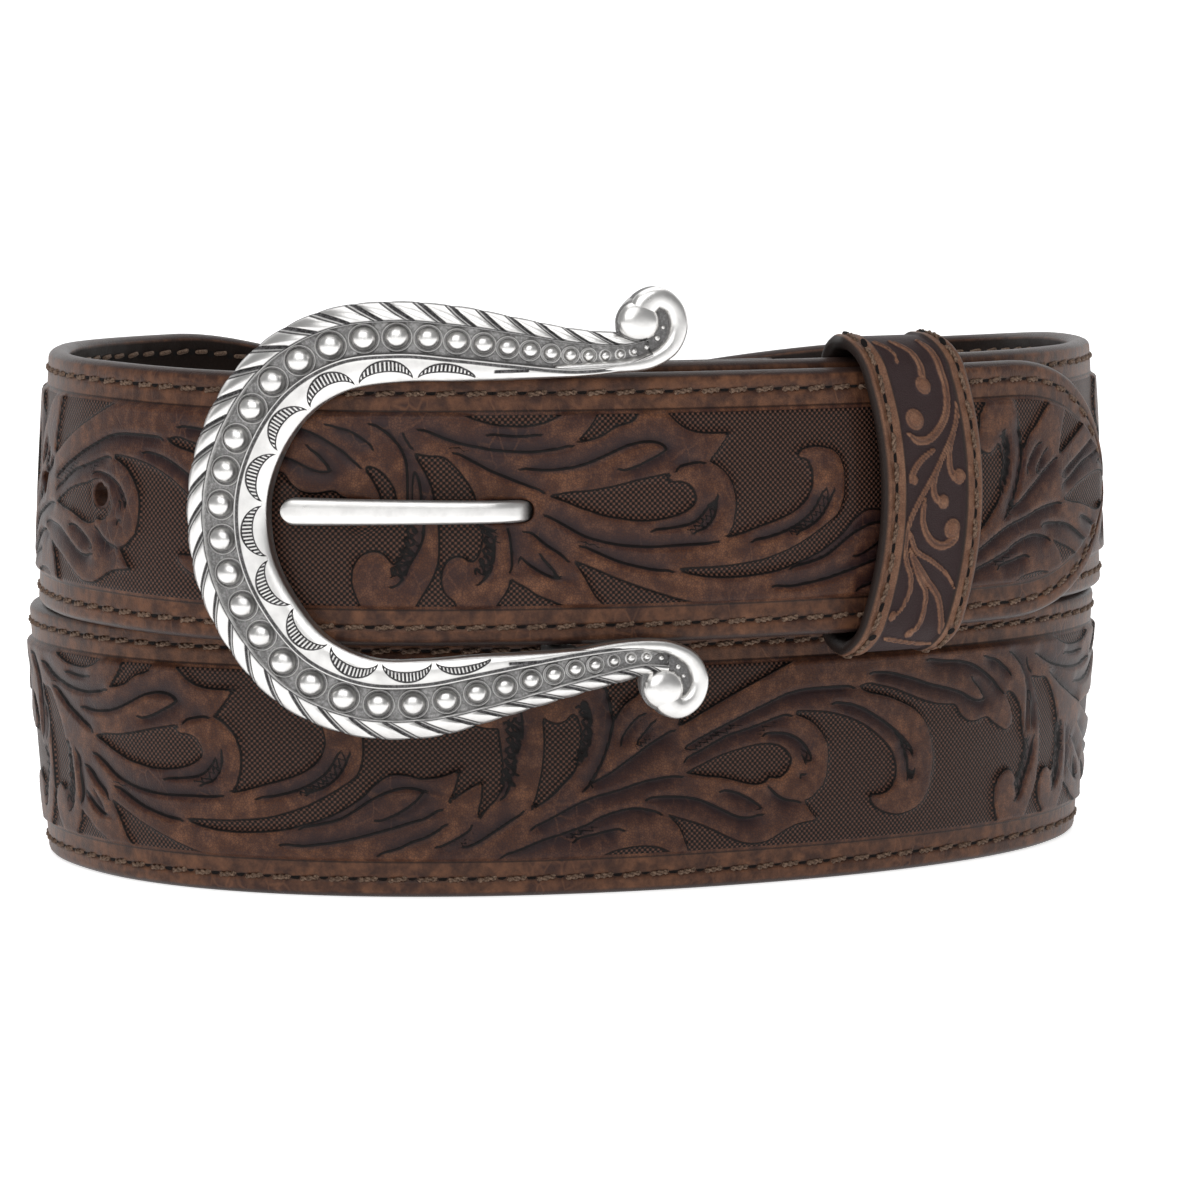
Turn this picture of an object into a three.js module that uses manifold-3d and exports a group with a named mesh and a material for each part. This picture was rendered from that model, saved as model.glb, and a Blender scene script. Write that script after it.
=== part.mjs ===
// A western tooled leather belt, fastened and wound into a two-turn coil that stands on its edge.
// Millimetres, +Z up. The buckle faces -Y, and the origin is under the coil's middle, on the surface.

import * as THREE from 'three';
import * as BufferGeometryUtils from 'three/addons/utils/BufferGeometryUtils.js';
import Module from 'manifold-3d';

const wasm = await Module();
wasm.setup();

// Strap: width, edge and padding
const strapWidth = 38.1;
const backFace = 1.6; // from the strap's mid line to its flesh side
const borderFace = 1.6; // from the mid line to the stitched border's face
const padding = 0.7; // how far the tooled field stands above the border
const borderWidth = 5.2;
const stepWidth = 0.7;
const edgeBevel = 1.0;
const edgeFlat = 1.2; // flat left on the burnished edge
const clearance = 0.3; // between pieces that touch
const cutterReach = 0.5; // how far a cutter runs past a face

// Coil: the oval that the lower turn follows, seen from above
const ovalLong = 162;
const ovalShort = 119;
const ovalSquareness = 2.2;
const ovalTurnDeg = 29;
const coilLeanDeg = 4.5;
const sectionStep = 8; // along the strap

// Holes and tip
const holePitch = 22;
const holeCount = 5;
const holeDiameter = 3.9;
const usedHoleStretch = 4.2; // how much longer the tongue has drawn the used hole
const usedHoleFromBar = 6.8;
const barToTip = 105;
const tipLength = 31;
const tipBlunt = 0.14;

// Fold round the bar
const barDiameter = 3.2;
const foldReturn = 34;
const foldClosing = 15; // length over which the folded end closes on the strap
const slotHalfWidth = 2.5;
const slotLength = 9;
const postFromBar = 25;
const postDiameter = 4;
const postHeadDiameter = 9;
const postHeadThickness = 1;
const postSink = 0.2; // the post's front end below the strap's face
const lugBehindBar = 0.4; // past the bar's far side
const lugPastEdge = 0.3; // between a lug and the strap's edge

// Buckle frame
const frameLength = 72.1;
const frameHeight = 60.9;
const frameDrop = 2.41; // the frame's middle below the upper strap's mid line
const frameBehindBar = 54.2; // from the bar to the closed end
const edgeReach = 5.6; // from the bead line to the rope edge, at the closed end
const rimReach = 6.5; // from the bead line to the inner edge, at the closed end
const frameSeat = 0.8; // from the billet's field to the frame's back
const channelFloor = 2;
const ropeCrest = 3.3;
const ropeEdge = 1.3;
const ropeGroove = 0.55;
const ropePitch = 3.7;
const innerRidge = 3.4;
const innerEdge = 2.7;
const beadDiameter = 3.3;
const beadHeight = 1.9;
const beadPitch = 4.38;
const beadSink = 0.5; // a bead's foot below the channel's floor
const curlRadius = 4.8;
const curlBall = 2.4;
const curlRim = 1.25;
const topCurlShift = 0.1; // along, from the bead line's end to the curl's middle
const bottomCurlShift = 0.6;
const curlRise = 3; // from the bead line's end to the curl's middle
const curlLift = 0.12; // the curl's floor above the channel's
const lugWidth = 4.2;
const lugHeight = 3.6;

// Tongue
const tongueReach = 39.4;
const tongueThickness = 2.4;
const tongueWidth = 3;
const tongueTipWidth = 3.8;
const tongueRing = 2;
const tongueSteps = 7;

// Keeper
const keeperWidth = 18;
const keeperFromBar = 53;
const keeperWall = 2.2;
const keeperCorner = 4.8;
const keeperHeadroom = 1.2;

// What follows from these sizes
const halfWidth = strapWidth / 2;
const fieldFace = borderFace + padding;
const barRadius = barDiameter / 2;
const foldRadius = barRadius + clearance + backFace; // of the strap's mid line round the bar
const lugRear = foldRadius + barRadius + lugBehindBar;
const stackOut = fieldFace + 2 * clearance + lugRear; // the upper front layer outside the lower turn
const lapStep = fieldFace + backFace + 1.6 * clearance; // from the layer below to the billet
const passStep = fieldFace + backFace + 2.4 * clearance; // between the turns where they pass at the back
const upperHeight = strapWidth + 1.2 * clearance;
const billetDip = 1.2; // how much lower the billet lies than the layer behind it
const barTravel = -3; // the bar's travel angle
const billetTurn = 720; // the bar is passed again two turns later
const upperMid = upperHeight + halfWidth;
const billetMid = upperMid - billetDip;
const frameMid = upperMid - frameDrop;
const frameRear = fieldFace + frameSeat; // the frame's back, outside the billet's mid line

// One row for each stretch of the strap. travel is degrees walked round the oval from the front, to the
// right first. stack, pass and lap are shares of stackOut, passStep and lapStep, outward. rise is a share
// of upperHeight, dip of billetDip, and lean of coilLeanDeg, with the top edge outward.
const coilRows = [
  { travel: 0, stack: 1, pass: 0, lap: 0, rise: 1, dip: 0, lean: 0 },
  { travel: 22, stack: 0.97, pass: 0, lap: 0, rise: 1, dip: 0, lean: 0 },
  { travel: 45, stack: 0.88, pass: 0, lap: 0, rise: 1, dip: 0, lean: 0 },
  { travel: 62, stack: 0.68, pass: 0, lap: 0, rise: 1, dip: 0, lean: -0.05 },
  { travel: 78, stack: 0.38, pass: 0.08, lap: 0, rise: 1, dip: 0, lean: -0.4 },
  { travel: 92, stack: 0.1, pass: 0.18, lap: 0, rise: 1, dip: 0, lean: -0.7 },
  { travel: 108, stack: 0, pass: 0.3, lap: 0, rise: 1, dip: 0, lean: -0.6 },
  { travel: 130, stack: 0, pass: 1, lap: 0, rise: 0.96, dip: 0, lean: -0.3 },
  { travel: 160, stack: 0, pass: 1, lap: 0, rise: 0.84, dip: 0, lean: 0 },
  { travel: 200, stack: 0, pass: 1, lap: 0, rise: 0.42, dip: 0, lean: 0 },
  { travel: 232, stack: 0, pass: 1, lap: 0, rise: 0.08, dip: 0, lean: 0.3 },
  { travel: 250, stack: 0, pass: 0.96, lap: 0, rise: 0, dip: 0, lean: 0.6 },
  { travel: 276, stack: 0, pass: 0.4, lap: 0, rise: 0, dip: 0, lean: 0.95 },
  { travel: 305, stack: 0, pass: 0.18, lap: 0, rise: 0, dip: 0, lean: 0.6 },
  { travel: 338, stack: 0, pass: 0, lap: 0, rise: 0, dip: 0, lean: 0 },
  { travel: 385, stack: 0, pass: 0, lap: 0, rise: 0, dip: 0, lean: 0 },
  { travel: 420, stack: 0, pass: 0, lap: 0, rise: 0, dip: 0, lean: 0.5 },
  { travel: 458, stack: 0, pass: 0, lap: 0, rise: 0, dip: 0, lean: 0.95 },
  { travel: 480, stack: 0, pass: 0, lap: 0, rise: 0, dip: 0, lean: 0.5 },
  { travel: 520, stack: 0, pass: 0, lap: 0, rise: 0.16, dip: 0, lean: 0 },
  { travel: 560, stack: 0, pass: 0, lap: 0, rise: 0.58, dip: 0, lean: 0 },
  { travel: 592, stack: 0, pass: 0, lap: 0, rise: 0.92, dip: 0, lean: -0.3 },
  { travel: 610, stack: 0, pass: 0, lap: 0, rise: 1, dip: 0, lean: -0.6 },
  { travel: 640, stack: 0, pass: 0, lap: 0, rise: 1, dip: 0, lean: -0.7 },
  { travel: 668, stack: 0.5, pass: 0, lap: 0.65, rise: 1, dip: 0.3, lean: -0.2 },
  { travel: 688, stack: 0.9, pass: 0, lap: 1, rise: 1, dip: 0.9, lean: 0 },
  { travel: 705, stack: 1, pass: 0, lap: 1, rise: 1, dip: 1, lean: 0 },
  { travel: 720, stack: 1, pass: 0, lap: 1, rise: 1, dip: 1, lean: 0 },
  { travel: 742, stack: 0.97, pass: 0, lap: 1, rise: 1, dip: 1, lean: 0 },
  { travel: 765, stack: 0.88, pass: 0, lap: 1, rise: 1, dip: 1, lean: 0 },
  { travel: 782, stack: 0.68, pass: 0, lap: 1, rise: 1, dip: 1, lean: -0.05 },
  { travel: 798, stack: 0.38, pass: 0.08, lap: 1, rise: 1, dip: 1, lean: -0.4 },
  { travel: 812, stack: 0.1, pass: 0.18, lap: 1, rise: 1, dip: 1, lean: -0.7 },
  { travel: 828, stack: 0, pass: 0.3, lap: 1, rise: 1, dip: 1, lean: -0.6 },
];

// A smooth curve through the rows that never overshoots one
function rowValue(rows, key, name, at) {
  const last = rows.length - 2;
  let i = rows.findIndex((row) => row[key] > at) - 1;
  if (i < 0) i = at < rows[0][key] ? 0 : last;
  const gap = (k) => rows[k + 1][key] - rows[k][key];
  const rate = (k) => (rows[k + 1][name] - rows[k][name]) / gap(k);
  const slope = (k) => {
    if (k === 0 || k > last) return rate(Math.min(k, last));
    const [before, after] = [rate(k - 1), rate(k)];
    return before * after <= 0 ? 0 : (2 * before * after) / (before + after);
  };
  const h = gap(i);
  const t = Math.min(Math.max((at - rows[i][key]) / h, 0), 1);
  const [s0, s1] = [slope(i), slope(i + 1)];
  const [v0, v1] = [rows[i][name], rows[i + 1][name]];
  return v0 * (1 + 2 * t) * (1 - t) ** 2 + h * s0 * t * (1 - t) ** 2
    + v1 * t * t * (3 - 2 * t) + h * s1 * t * t * (t - 1);
}

// The oval and its outward direction at a travel angle
function ovalPoint(travel) {
  const angle = THREE.MathUtils.degToRad(travel - 90);
  const turned = angle - THREE.MathUtils.degToRad(ovalTurnDeg);
  const across = Math.abs(Math.cos(turned) / (ovalLong / 2)) ** ovalSquareness;
  const along = Math.abs(Math.sin(turned) / (ovalShort / 2)) ** ovalSquareness;
  const radius = (across + along) ** (-1 / ovalSquareness);
  return new THREE.Vector2(Math.cos(angle) * radius, Math.sin(angle) * radius);
}

// The strap's mid line, its outward direction and its lean at a travel angle
function strandPoint(travel) {
  const ahead = ovalPoint(travel + 0.5).sub(ovalPoint(travel - 0.5)).normalize();
  const out = new THREE.Vector3(ahead.y, -ahead.x, 0);
  const value = (name) => rowValue(coilRows, 'travel', name, travel);
  const offset = value('stack') * stackOut + value('pass') * passStep + value('lap') * lapStep;
  const lean = THREE.MathUtils.degToRad(value('lean') * coilLeanDeg);
  const foot = value('rise') * upperHeight - value('dip') * billetDip;
  const height = foot + halfWidth * Math.cos(lean) + (edgeFlat / 2) * Math.abs(Math.sin(lean));
  const base = ovalPoint(travel);
  const point = new THREE.Vector3(base.x, base.y, height).addScaledVector(out, offset);
  return { point, out, lean };
}

// Even steps of length along a stretch of the coil
function walk(startTravel, length, step) {
  const found = [];
  const fine = 0.25;
  const direction = Math.sign(length);
  let travel = startTravel;
  let walked = 0;
  let before = strandPoint(travel).point;
  while (walked < Math.abs(length)) {
    found.push({ travel, along: walked * direction });
    let target = Math.min(walked + step, Math.abs(length));
    while (walked < target) {
      travel += fine * direction;
      const next = strandPoint(travel).point;
      walked += next.distanceTo(before);
      before = next;
    }
  }
  found.push({ travel, along: walked * direction });
  return found;
}

// Lengths measured from the bar along the billet, with the travel angle of each
const billetWalk = [
  ...walk(barTravel + billetTurn, -(holeCount * holePitch + 20), 1).reverse(),
  ...walk(barTravel + billetTurn, barToTip + 4, 1).slice(1),
];

// A point that lies along from the bar, out from the billet's mid line and up from the surface
function frontPoint(along, out, height) {
  const travel = rowValue(billetWalk, 'along', 'travel', along);
  const strand = strandPoint(travel);
  return new THREE.Vector3(strand.point.x, strand.point.y, height).addScaledVector(strand.out, out);
}

// Bends a geometry made with x along, y out and z up onto the front of the coil. Out is -Y there, so the
// faces are turned round.
function bendToFront(geometry) {
  const place = geometry.getAttribute('position');
  for (let i = 0; i < place.count; i += 1) {
    const bent = frontPoint(place.getX(i), place.getY(i), place.getZ(i));
    place.setXYZ(i, bent.x, bent.y, bent.z);
  }
  const corners = geometry.index
    ? Array.from(geometry.index.array)
    : Array.from({ length: place.count }, (_, i) => i);
  for (let i = 0; i < corners.length; i += 3) {
    [corners[i], corners[i + 1]] = [corners[i + 1], corners[i]];
  }
  geometry.setIndex(corners);
  return geometry;
}

function toSolid(geometry) {
  const bare = geometry.index ? geometry.toNonIndexed() : geometry.clone();
  bare.deleteAttribute('normal');
  bare.deleteAttribute('uv');
  const merged = BufferGeometryUtils.mergeVertices(bare, 1e-4);
  return new wasm.Manifold(new wasm.Mesh({
    numProp: 3,
    vertProperties: new Float32Array(merged.getAttribute('position').array),
    triVerts: new Uint32Array(merged.index.array),
  }));
}

function toGeometry(solid) {
  const mesh = solid.getMesh();
  const geometry = new THREE.BufferGeometry();
  geometry.setAttribute('position', new THREE.BufferAttribute(mesh.vertProperties, 3));
  geometry.setIndex(new THREE.BufferAttribute(mesh.triVerts, 1));
  return geometry;
}

// Joins corners that a join or cut left closer than a mesh file can tell apart
function withoutSlivers(geometry) {
  const merged = BufferGeometryUtils.mergeVertices(geometry, 2e-3);
  const faces = Array.from(merged.index.array);
  const kept = [];
  for (let i = 0; i < faces.length; i += 3) {
    const [a, b, c] = faces.slice(i, i + 3);
    if (a !== b && b !== c && c !== a) kept.push(a, b, c);
  }
  merged.setIndex(kept);
  return merged;
}

// Closes a row of rings, each with as many points, into one solid
function skin(rings) {
  const count = rings[0].length;
  const places = rings.flat().flatMap((p) => [p.x, p.y, p.z]);
  const faces = [];
  for (let i = 0; i + 1 < rings.length; i += 1) {
    for (let j = 0; j < count; j += 1) {
      const next = (j + 1) % count;
      const [a, b] = [i * count + j, i * count + next];
      faces.push(a, a + count, b, b, a + count, b + count);
    }
  }
  for (const end of [0, rings.length - 1]) {
    const middle = rings[end].reduce((sum, p) => sum.add(p), new THREE.Vector3()).divideScalar(count);
    const centre = places.length / 3;
    places.push(middle.x, middle.y, middle.z);
    for (let j = 0; j < count; j += 1) {
      const [a, b] = [end * count + j, end * count + ((j + 1) % count)];
      faces.push(...(end === 0 ? [centre, a, b] : [centre, b, a]));
    }
  }
  const geometry = new THREE.BufferGeometry();
  geometry.setAttribute('position', new THREE.Float32BufferAttribute(places, 3));
  geometry.setIndex(faces);
  return geometry;
}

// The strap's section, across and out, going round it once
function strapSection(half, pad) {
  const bevel = Math.min(edgeBevel, half * 0.5);
  const field = Math.max(half - borderWidth, half * 0.12);
  const step = Math.min(stepWidth, field * 0.5);
  return [
    [-half + bevel, -backFace], [-half, -edgeFlat / 2], [-half, edgeFlat / 2],
    [-half + bevel, borderFace], [-field, borderFace], [-field + step, borderFace + pad],
    [field - step, borderFace + pad], [field, borderFace], [half - bevel, borderFace],
    [half, edgeFlat / 2], [half, -edgeFlat / 2], [half - bevel, -backFace],
  ];
}

// Half the strap's width at a distance from its tip, which is rounded
function halfWidthNearTip(toTip) {
  if (toTip >= tipLength) return halfWidth;
  const share = 1 - Math.max(toTip, 0) / tipLength;
  return halfWidth * (tipBlunt + (1 - tipBlunt) * (1 - share ** 2.3) ** 0.62);
}

// Places a section at a mid point, with its outward and width directions
function ringAt(point, out, across, half, pad) {
  return strapSection(half, pad).map(([w, n]) => (
    point.clone().addScaledVector(across, w).addScaledVector(out, n)));
}

// The directions of a strand at a travel angle
function strandFrame(travel) {
  const { point, out, lean } = strandPoint(travel);
  const ahead = strandPoint(travel + 0.5).point.sub(strandPoint(travel - 0.5).point).normalize();
  const up = new THREE.Vector3().crossVectors(out, ahead).normalize();
  if (up.z < 0) up.negate();
  const across = up.clone().multiplyScalar(Math.cos(lean)).addScaledVector(out, Math.sin(lean));
  const face = out.clone().multiplyScalar(Math.cos(lean)).addScaledVector(up, -Math.sin(lean));
  return { point, face, across };
}

// The folded end: back along the inside of the strap, and round the bar
function foldRings() {
  const rings = [];
  const upright = new THREE.Vector3(0, 0, 1);
  const inside = walk(barTravel, foldReturn, 5).reverse();
  const near = 2 * foldRadius;
  const far = 2 * backFace + clearance;
  for (const { travel, along } of inside) {
    const { point, out } = strandPoint(travel);
    const closing = Math.min(along / foldClosing, 1);
    const depth = near + (far - near) * closing * closing * (3 - 2 * closing);
    const inner = point.clone().addScaledVector(out, -depth);
    rings.push(ringAt(inner, out.clone().negate(), upright, halfWidth, padding));
  }
  const { point, out } = strandPoint(barTravel);
  const centre = point.clone().addScaledVector(out, -foldRadius);
  const back = new THREE.Vector3().crossVectors(out, upright);
  if (back.dot(strandPoint(barTravel - 5).point.sub(point)) < 0) back.negate();
  const bends = 7;
  for (let i = 1; i < bends; i += 1) {
    const angle = (Math.PI * i) / bends;
    const outward = out.clone().multiplyScalar(-Math.cos(angle)).addScaledVector(back, Math.sin(angle));
    const bend = centre.clone().addScaledVector(outward, foldRadius);
    rings.push(ringAt(bend, outward, upright, halfWidth, padding));
  }
  return rings;
}

// The whole strap before it is punched
function strapBlank() {
  const rings = foldRings();
  const total = coilLength + barToTip;
  const stations = walk(barTravel, total - tipLength, sectionStep);
  const tipShares = [0.3, 0.52, 0.7, 0.83, 0.92, 0.97, 1];
  const tipStart = stations[stations.length - 1];
  for (const { travel } of stations) {
    const { point, face, across } = strandFrame(travel);
    rings.push(ringAt(point, face, across, halfWidth, padding));
  }
  for (const share of tipShares) {
    const travel = walk(tipStart.travel, share * tipLength, share * tipLength)[1].travel;
    const { point, face, across } = strandFrame(travel);
    const half = halfWidthNearTip((1 - share) * tipLength);
    const pad = padding * THREE.MathUtils.smoothstep(half, borderWidth, borderWidth + 4);
    rings.push(ringAt(point, face, across, half, pad));
  }
  return toSolid(skin(rings));
}

// The strap's length from the bar round to the bar again, two turns later
const coilLength = (() => {
  let length = 0;
  let before = strandPoint(barTravel).point;
  for (let travel = barTravel + 0.25; travel <= barTravel + billetTurn; travel += 0.25) {
    const next = strandPoint(travel).point;
    length += next.distanceTo(before);
    before = next;
  }
  return length;
})();

// A straight-sided cutter across the strap, with its middle at along and height
function holeCutter(along, length, rear, front) {
  const shape = new THREE.Shape();
  const radius = holeDiameter / 2;
  const half = Math.max(length / 2 - radius, 0);
  shape.absarc(half, 0, radius, -Math.PI / 2, Math.PI / 2);
  shape.absarc(-half, 0, radius, Math.PI / 2, (3 * Math.PI) / 2);
  const cutter = new THREE.ExtrudeGeometry(shape, {
    depth: front - rear,
    bevelEnabled: false,
    curveSegments: 7,
  });
  cutter.rotateX(Math.PI / 2);
  cutter.translate(along, front, billetMid);
  return toSolid(bendToFront(cutter));
}

function boxBetween(x0, x1, y0, y1, z0, z1) {
  const box = new THREE.BoxGeometry(x1 - x0, y1 - y0, z1 - z0);
  return box.translate((x0 + x1) / 2, (y0 + y1) / 2, (z0 + z1) / 2);
}

function makeStrap() {
  let strap = strapBlank();
  const rear = -backFace - cutterReach;
  const front = fieldFace + cutterReach;
  const usedHole = -usedHoleFromBar - usedHoleStretch / 2;
  strap = strap.subtract(holeCutter(usedHole, holeDiameter + usedHoleStretch, rear, front));
  for (let i = 1; i < holeCount; i += 1) {
    const along = -usedHoleFromBar - i * holePitch;
    strap = strap.subtract(holeCutter(along, holeDiameter, rear, front));
  }
  const slotFront = -lapStep + fieldFace + 0.6 * clearance;
  const slot = boxBetween(
    -foldRadius - fieldFace - 2 * cutterReach, slotLength,
    -lapStep - 2 * (foldRadius + cutterReach) - fieldFace, slotFront,
    billetMid - slotHalfWidth, billetMid + slotHalfWidth,
  );
  strap = strap.subtract(toSolid(bendToFront(slot)));
  const postHole = postCylinder(postDiameter / 2 + clearance, -lapStep - 4 * foldRadius, slotFront);
  return toGeometry(strap.subtract(toSolid(bendToFront(postHole))));
}

function postCylinder(radius, rear, front) {
  const post = new THREE.CylinderGeometry(radius, radius, front - rear, 14);
  return post.translate(postFromBar, (front + rear) / 2, upperMid);
}

// The post that holds the fold: flush with the strap in front, with one head behind
function makeFoldPost() {
  const returnFace = -lapStep - 2 * backFace - clearance - fieldFace;
  const post = postCylinder(postDiameter / 2, returnFace - 2 * clearance, -lapStep + fieldFace - postSink);
  const headFront = returnFace - clearance;
  const head = postCylinder(postHeadDiameter / 2, headFront - postHeadThickness, headFront);
  return bendToFront(toGeometry(toSolid(post).add(toSolid(head))));
}

// The horseshoe's bead line as shares of frameLength from the closed end and of frameHeight, the frame's
// width outside and inside that line as shares of edgeReach and rimReach, and the size and spacing of its
// beads as shares of beadDiameter and beadPitch.
const horseshoeRows = [
  { run: 0, x: 0.889, z: 0.895, edge: 0.5, rim: 0.33, bead: 0.3, pitch: 0.33 },
  { run: 1, x: 0.839, z: 0.879, edge: 0.56, rim: 0.36, bead: 0.46, pitch: 0.4 },
  { run: 2, x: 0.749, z: 0.877, edge: 0.66, rim: 0.46, bead: 0.75, pitch: 0.53 },
  { run: 3, x: 0.631, z: 0.895, edge: 0.77, rim: 0.69, bead: 0.92, pitch: 0.74 },
  { run: 4, x: 0.531, z: 0.911, edge: 0.86, rim: 0.86, bead: 1, pitch: 0.83 },
  { run: 5, x: 0.424, z: 0.921, edge: 0.87, rim: 0.97, bead: 1, pitch: 0.86 },
  { run: 6, x: 0.309, z: 0.903, edge: 0.89, rim: 1.02, bead: 1, pitch: 0.9 },
  { run: 7, x: 0.205, z: 0.829, edge: 0.93, rim: 1.02, bead: 1, pitch: 0.94 },
  { run: 8, x: 0.13, z: 0.701, edge: 0.98, rim: 1, bead: 1, pitch: 0.97 },
  { run: 9, x: 0.093, z: 0.552, edge: 1, rim: 1, bead: 1, pitch: 1 },
  { run: 10, x: 0.104, z: 0.394, edge: 1, rim: 1, bead: 1, pitch: 1 },
  { run: 11, x: 0.157, z: 0.258, edge: 0.96, rim: 1.01, bead: 1, pitch: 0.97 },
  { run: 12, x: 0.241, z: 0.145, edge: 0.92, rim: 1, bead: 1, pitch: 0.94 },
  { run: 13, x: 0.354, z: 0.087, edge: 0.89, rim: 0.96, bead: 1, pitch: 0.92 },
  { run: 14, x: 0.47, z: 0.084, edge: 0.88, rim: 0.94, bead: 1, pitch: 0.87 },
  { run: 15, x: 0.571, z: 0.108, edge: 0.79, rim: 0.81, bead: 0.96, pitch: 0.82 },
  { run: 16, x: 0.67, z: 0.136, edge: 0.71, rim: 0.6, bead: 0.83, pitch: 0.75 },
  { run: 17, x: 0.752, z: 0.159, edge: 0.66, rim: 0.43, bead: 0.66, pitch: 0.6 },
  { run: 18, x: 0.82, z: 0.174, edge: 0.6, rim: 0.32, bead: 0.5, pitch: 0.5 },
  { run: 19, x: 0.877, z: 0.182, edge: 0.52, rim: 0.27, bead: 0.36, pitch: 0.4 },
  { run: 20, x: 0.928, z: 0.176, edge: 0.45, rim: 0.26, bead: 0.28, pitch: 0.34 },
];

const beadLine = new THREE.CatmullRomCurve3(horseshoeRows.map(({ x, z }) => new THREE.Vector3(
  x * frameLength - frameBehindBar,
  0,
  (z - 0.5) * frameHeight + frameMid,
)), false, 'centripetal');

// Where the bead line is at a share of its length, the direction to the frame's outer edge and the row there
function horseshoeAt(share) {
  const t = beadLine.getUtoTmapping(share);
  const point = beadLine.getPoint(t);
  const ahead = beadLine.getTangent(t);
  const edgeward = new THREE.Vector3(ahead.z, 0, -ahead.x);
  const run = t * (horseshoeRows.length - 1);
  const value = (name) => rowValue(horseshoeRows, 'run', name, run);
  return {
    point,
    edgeward,
    edge: value('edge') * edgeReach,
    rim: value('rim') * rimReach,
    bead: value('bead'),
    pitch: value('pitch'),
  };
}

function horseshoeBody() {
  const length = beadLine.getLength();
  const ropes = Math.round(length / ropePitch);
  const stations = 2 * ropes;
  const slant = ropePitch * 0.8 / length;
  const rings = [];
  for (let i = 0; i <= stations; i += 1) {
    const share = i / stations;
    const groove = i % 2 === 0 ? ropeGroove : 0;
    const at = (shift) => horseshoeAt(THREE.MathUtils.clamp(share + shift, 0, 1));
    const here = at(0);
    const crest = at(-slant / 2);
    const rope = at(-slant);
    const channel = (here.bead * beadDiameter) / 2 + 0.35;
    const put = (from, across, out) => from.point.clone().addScaledVector(from.edgeward, across)
      .setY(frameRear + out);
    rings.push([
      put(rope, rope.edge, 0),
      put(rope, rope.edge - groove * 0.6, ropeEdge - groove * 0.5),
      put(crest, (crest.edge + channel) / 2, ropeCrest - groove),
      put(here, channel + 0.1, ropeCrest - 0.4 - groove * 0.6),
      put(here, channel - 0.2, channelFloor),
      put(here, -channel + 0.2, channelFloor),
      put(here, -channel - 0.1, innerRidge),
      put(here, -here.rim, innerEdge),
      put(here, -here.rim, 0),
    ].reverse());
  }
  return toSolid(skin(rings));
}

// A bead that stands in the channel
function beadAt(place) {
  const radius = (place.bead * beadDiameter) / 2;
  const height = channelFloor + Math.max(place.bead, 0.4) * beadHeight - 0.4;
  const shoulder = channelFloor + 0.62 * (height - channelFloor);
  const sunk = channelFloor - beadSink;
  const profile = [[0, sunk], [radius, sunk], [radius * 0.86, shoulder], [0, height]]
    .map(([r, h]) => new THREE.Vector2(r, h));
  const bead = new THREE.LatheGeometry(profile, 10);
  return toSolid(bead.translate(place.point.x, frameRear, place.point.z));
}

function beadRow() {
  const beads = [];
  const length = beadLine.getLength();
  let walked = beadPitch / 9;
  while (walked < length - beadPitch / 9) {
    const place = horseshoeAt(walked / length);
    beads.push(beadAt(place));
    walked += beadPitch * place.pitch;
  }
  return beads;
}

// A curl at an arm's end: a low disc with a raised rim that winds into a ball
function curl(x, z, up) {
  const disc = new THREE.CylinderGeometry(curlRadius, curlRadius, channelFloor, 28)
    .translate(x, frameRear + channelFloor / 2 + curlLift, z);
  const rim = new THREE.TorusGeometry(curlRadius - curlRim, curlRim, 8, 22, Math.PI * 1.45)
    .rotateZ(up ? -Math.PI * 0.5 : -Math.PI * 0.95)
    .rotateX(Math.PI / 2)
    .translate(x, frameRear + channelFloor, z);
  const ball = new THREE.SphereGeometry(curlBall, 12, 8)
    .scale(1, 0.7, 1)
    .translate(x - curlRadius * 0.42, frameRear + channelFloor, z + (up ? 0.4 : -1.1));
  return [toSolid(disc), toSolid(closeArc(rim)), toSolid(ball)];
}

// Fills the two open ends of a part torus
function closeArc(torus) {
  const place = torus.getAttribute('position');
  const { radialSegments, tubularSegments } = torus.parameters;
  const columns = tubularSegments + 1;
  const places = Array.from(place.array);
  const faces = Array.from(torus.index.array);
  for (const column of [0, tubularSegments]) {
    const ring = Array.from({ length: radialSegments }, (_, j) => j * columns + column);
    const centre = places.length / 3;
    const sum = [0, 0, 0];
    ring.forEach((i) => [0, 1, 2].forEach((k) => { sum[k] += places[3 * i + k] / ring.length; }));
    places.push(...sum);
    ring.forEach((a, j) => {
      const b = ring[(j + 1) % ring.length];
      faces.push(...(column === 0 ? [centre, a, b] : [centre, b, a]));
    });
  }
  const closed = new THREE.BufferGeometry();
  closed.setAttribute('position', new THREE.Float32BufferAttribute(places, 3));
  closed.setIndex(faces);
  return closed;
}

// The bar behind the strap and a lug from each arm back to it
function barAndLugs() {
  const barOut = -lapStep - foldRadius;
  const topLug = upperHeight + strapWidth + lugPastEdge;
  const bottomLug = upperHeight - billetDip - 2 * lugPastEdge;
  const bar = new THREE.CylinderGeometry(barRadius, barRadius, topLug - bottomLug + 2, 16)
    .rotateX(Math.PI / 2)
    .translate(0, barOut, (topLug + bottomLug) / 2);
  const rear = -lapStep - lugRear;
  const lug = (z0, z1) => boxBetween(-lugWidth / 2, lugWidth / 2, rear, frameRear + 1, z0, z1);
  return [
    toSolid(bar),
    toSolid(lug(topLug, topLug + lugHeight)),
    toSolid(lug(bottomLug - lugHeight, bottomLug)),
  ];
}

function makeBuckleFrame() {
  const first = horseshoeAt(0).point;
  const last = horseshoeAt(1).point;
  const parts = [
    horseshoeBody(),
    ...beadRow(),
    ...curl(first.x + topCurlShift, first.z + curlRise, true),
    ...curl(last.x + bottomCurlShift, last.z - curlRise, false),
    ...barAndLugs(),
  ];
  const whole = parts.reduce((joined, part) => joined.add(part));
  return withoutSlivers(bendToFront(toGeometry(whole)));
}

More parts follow.
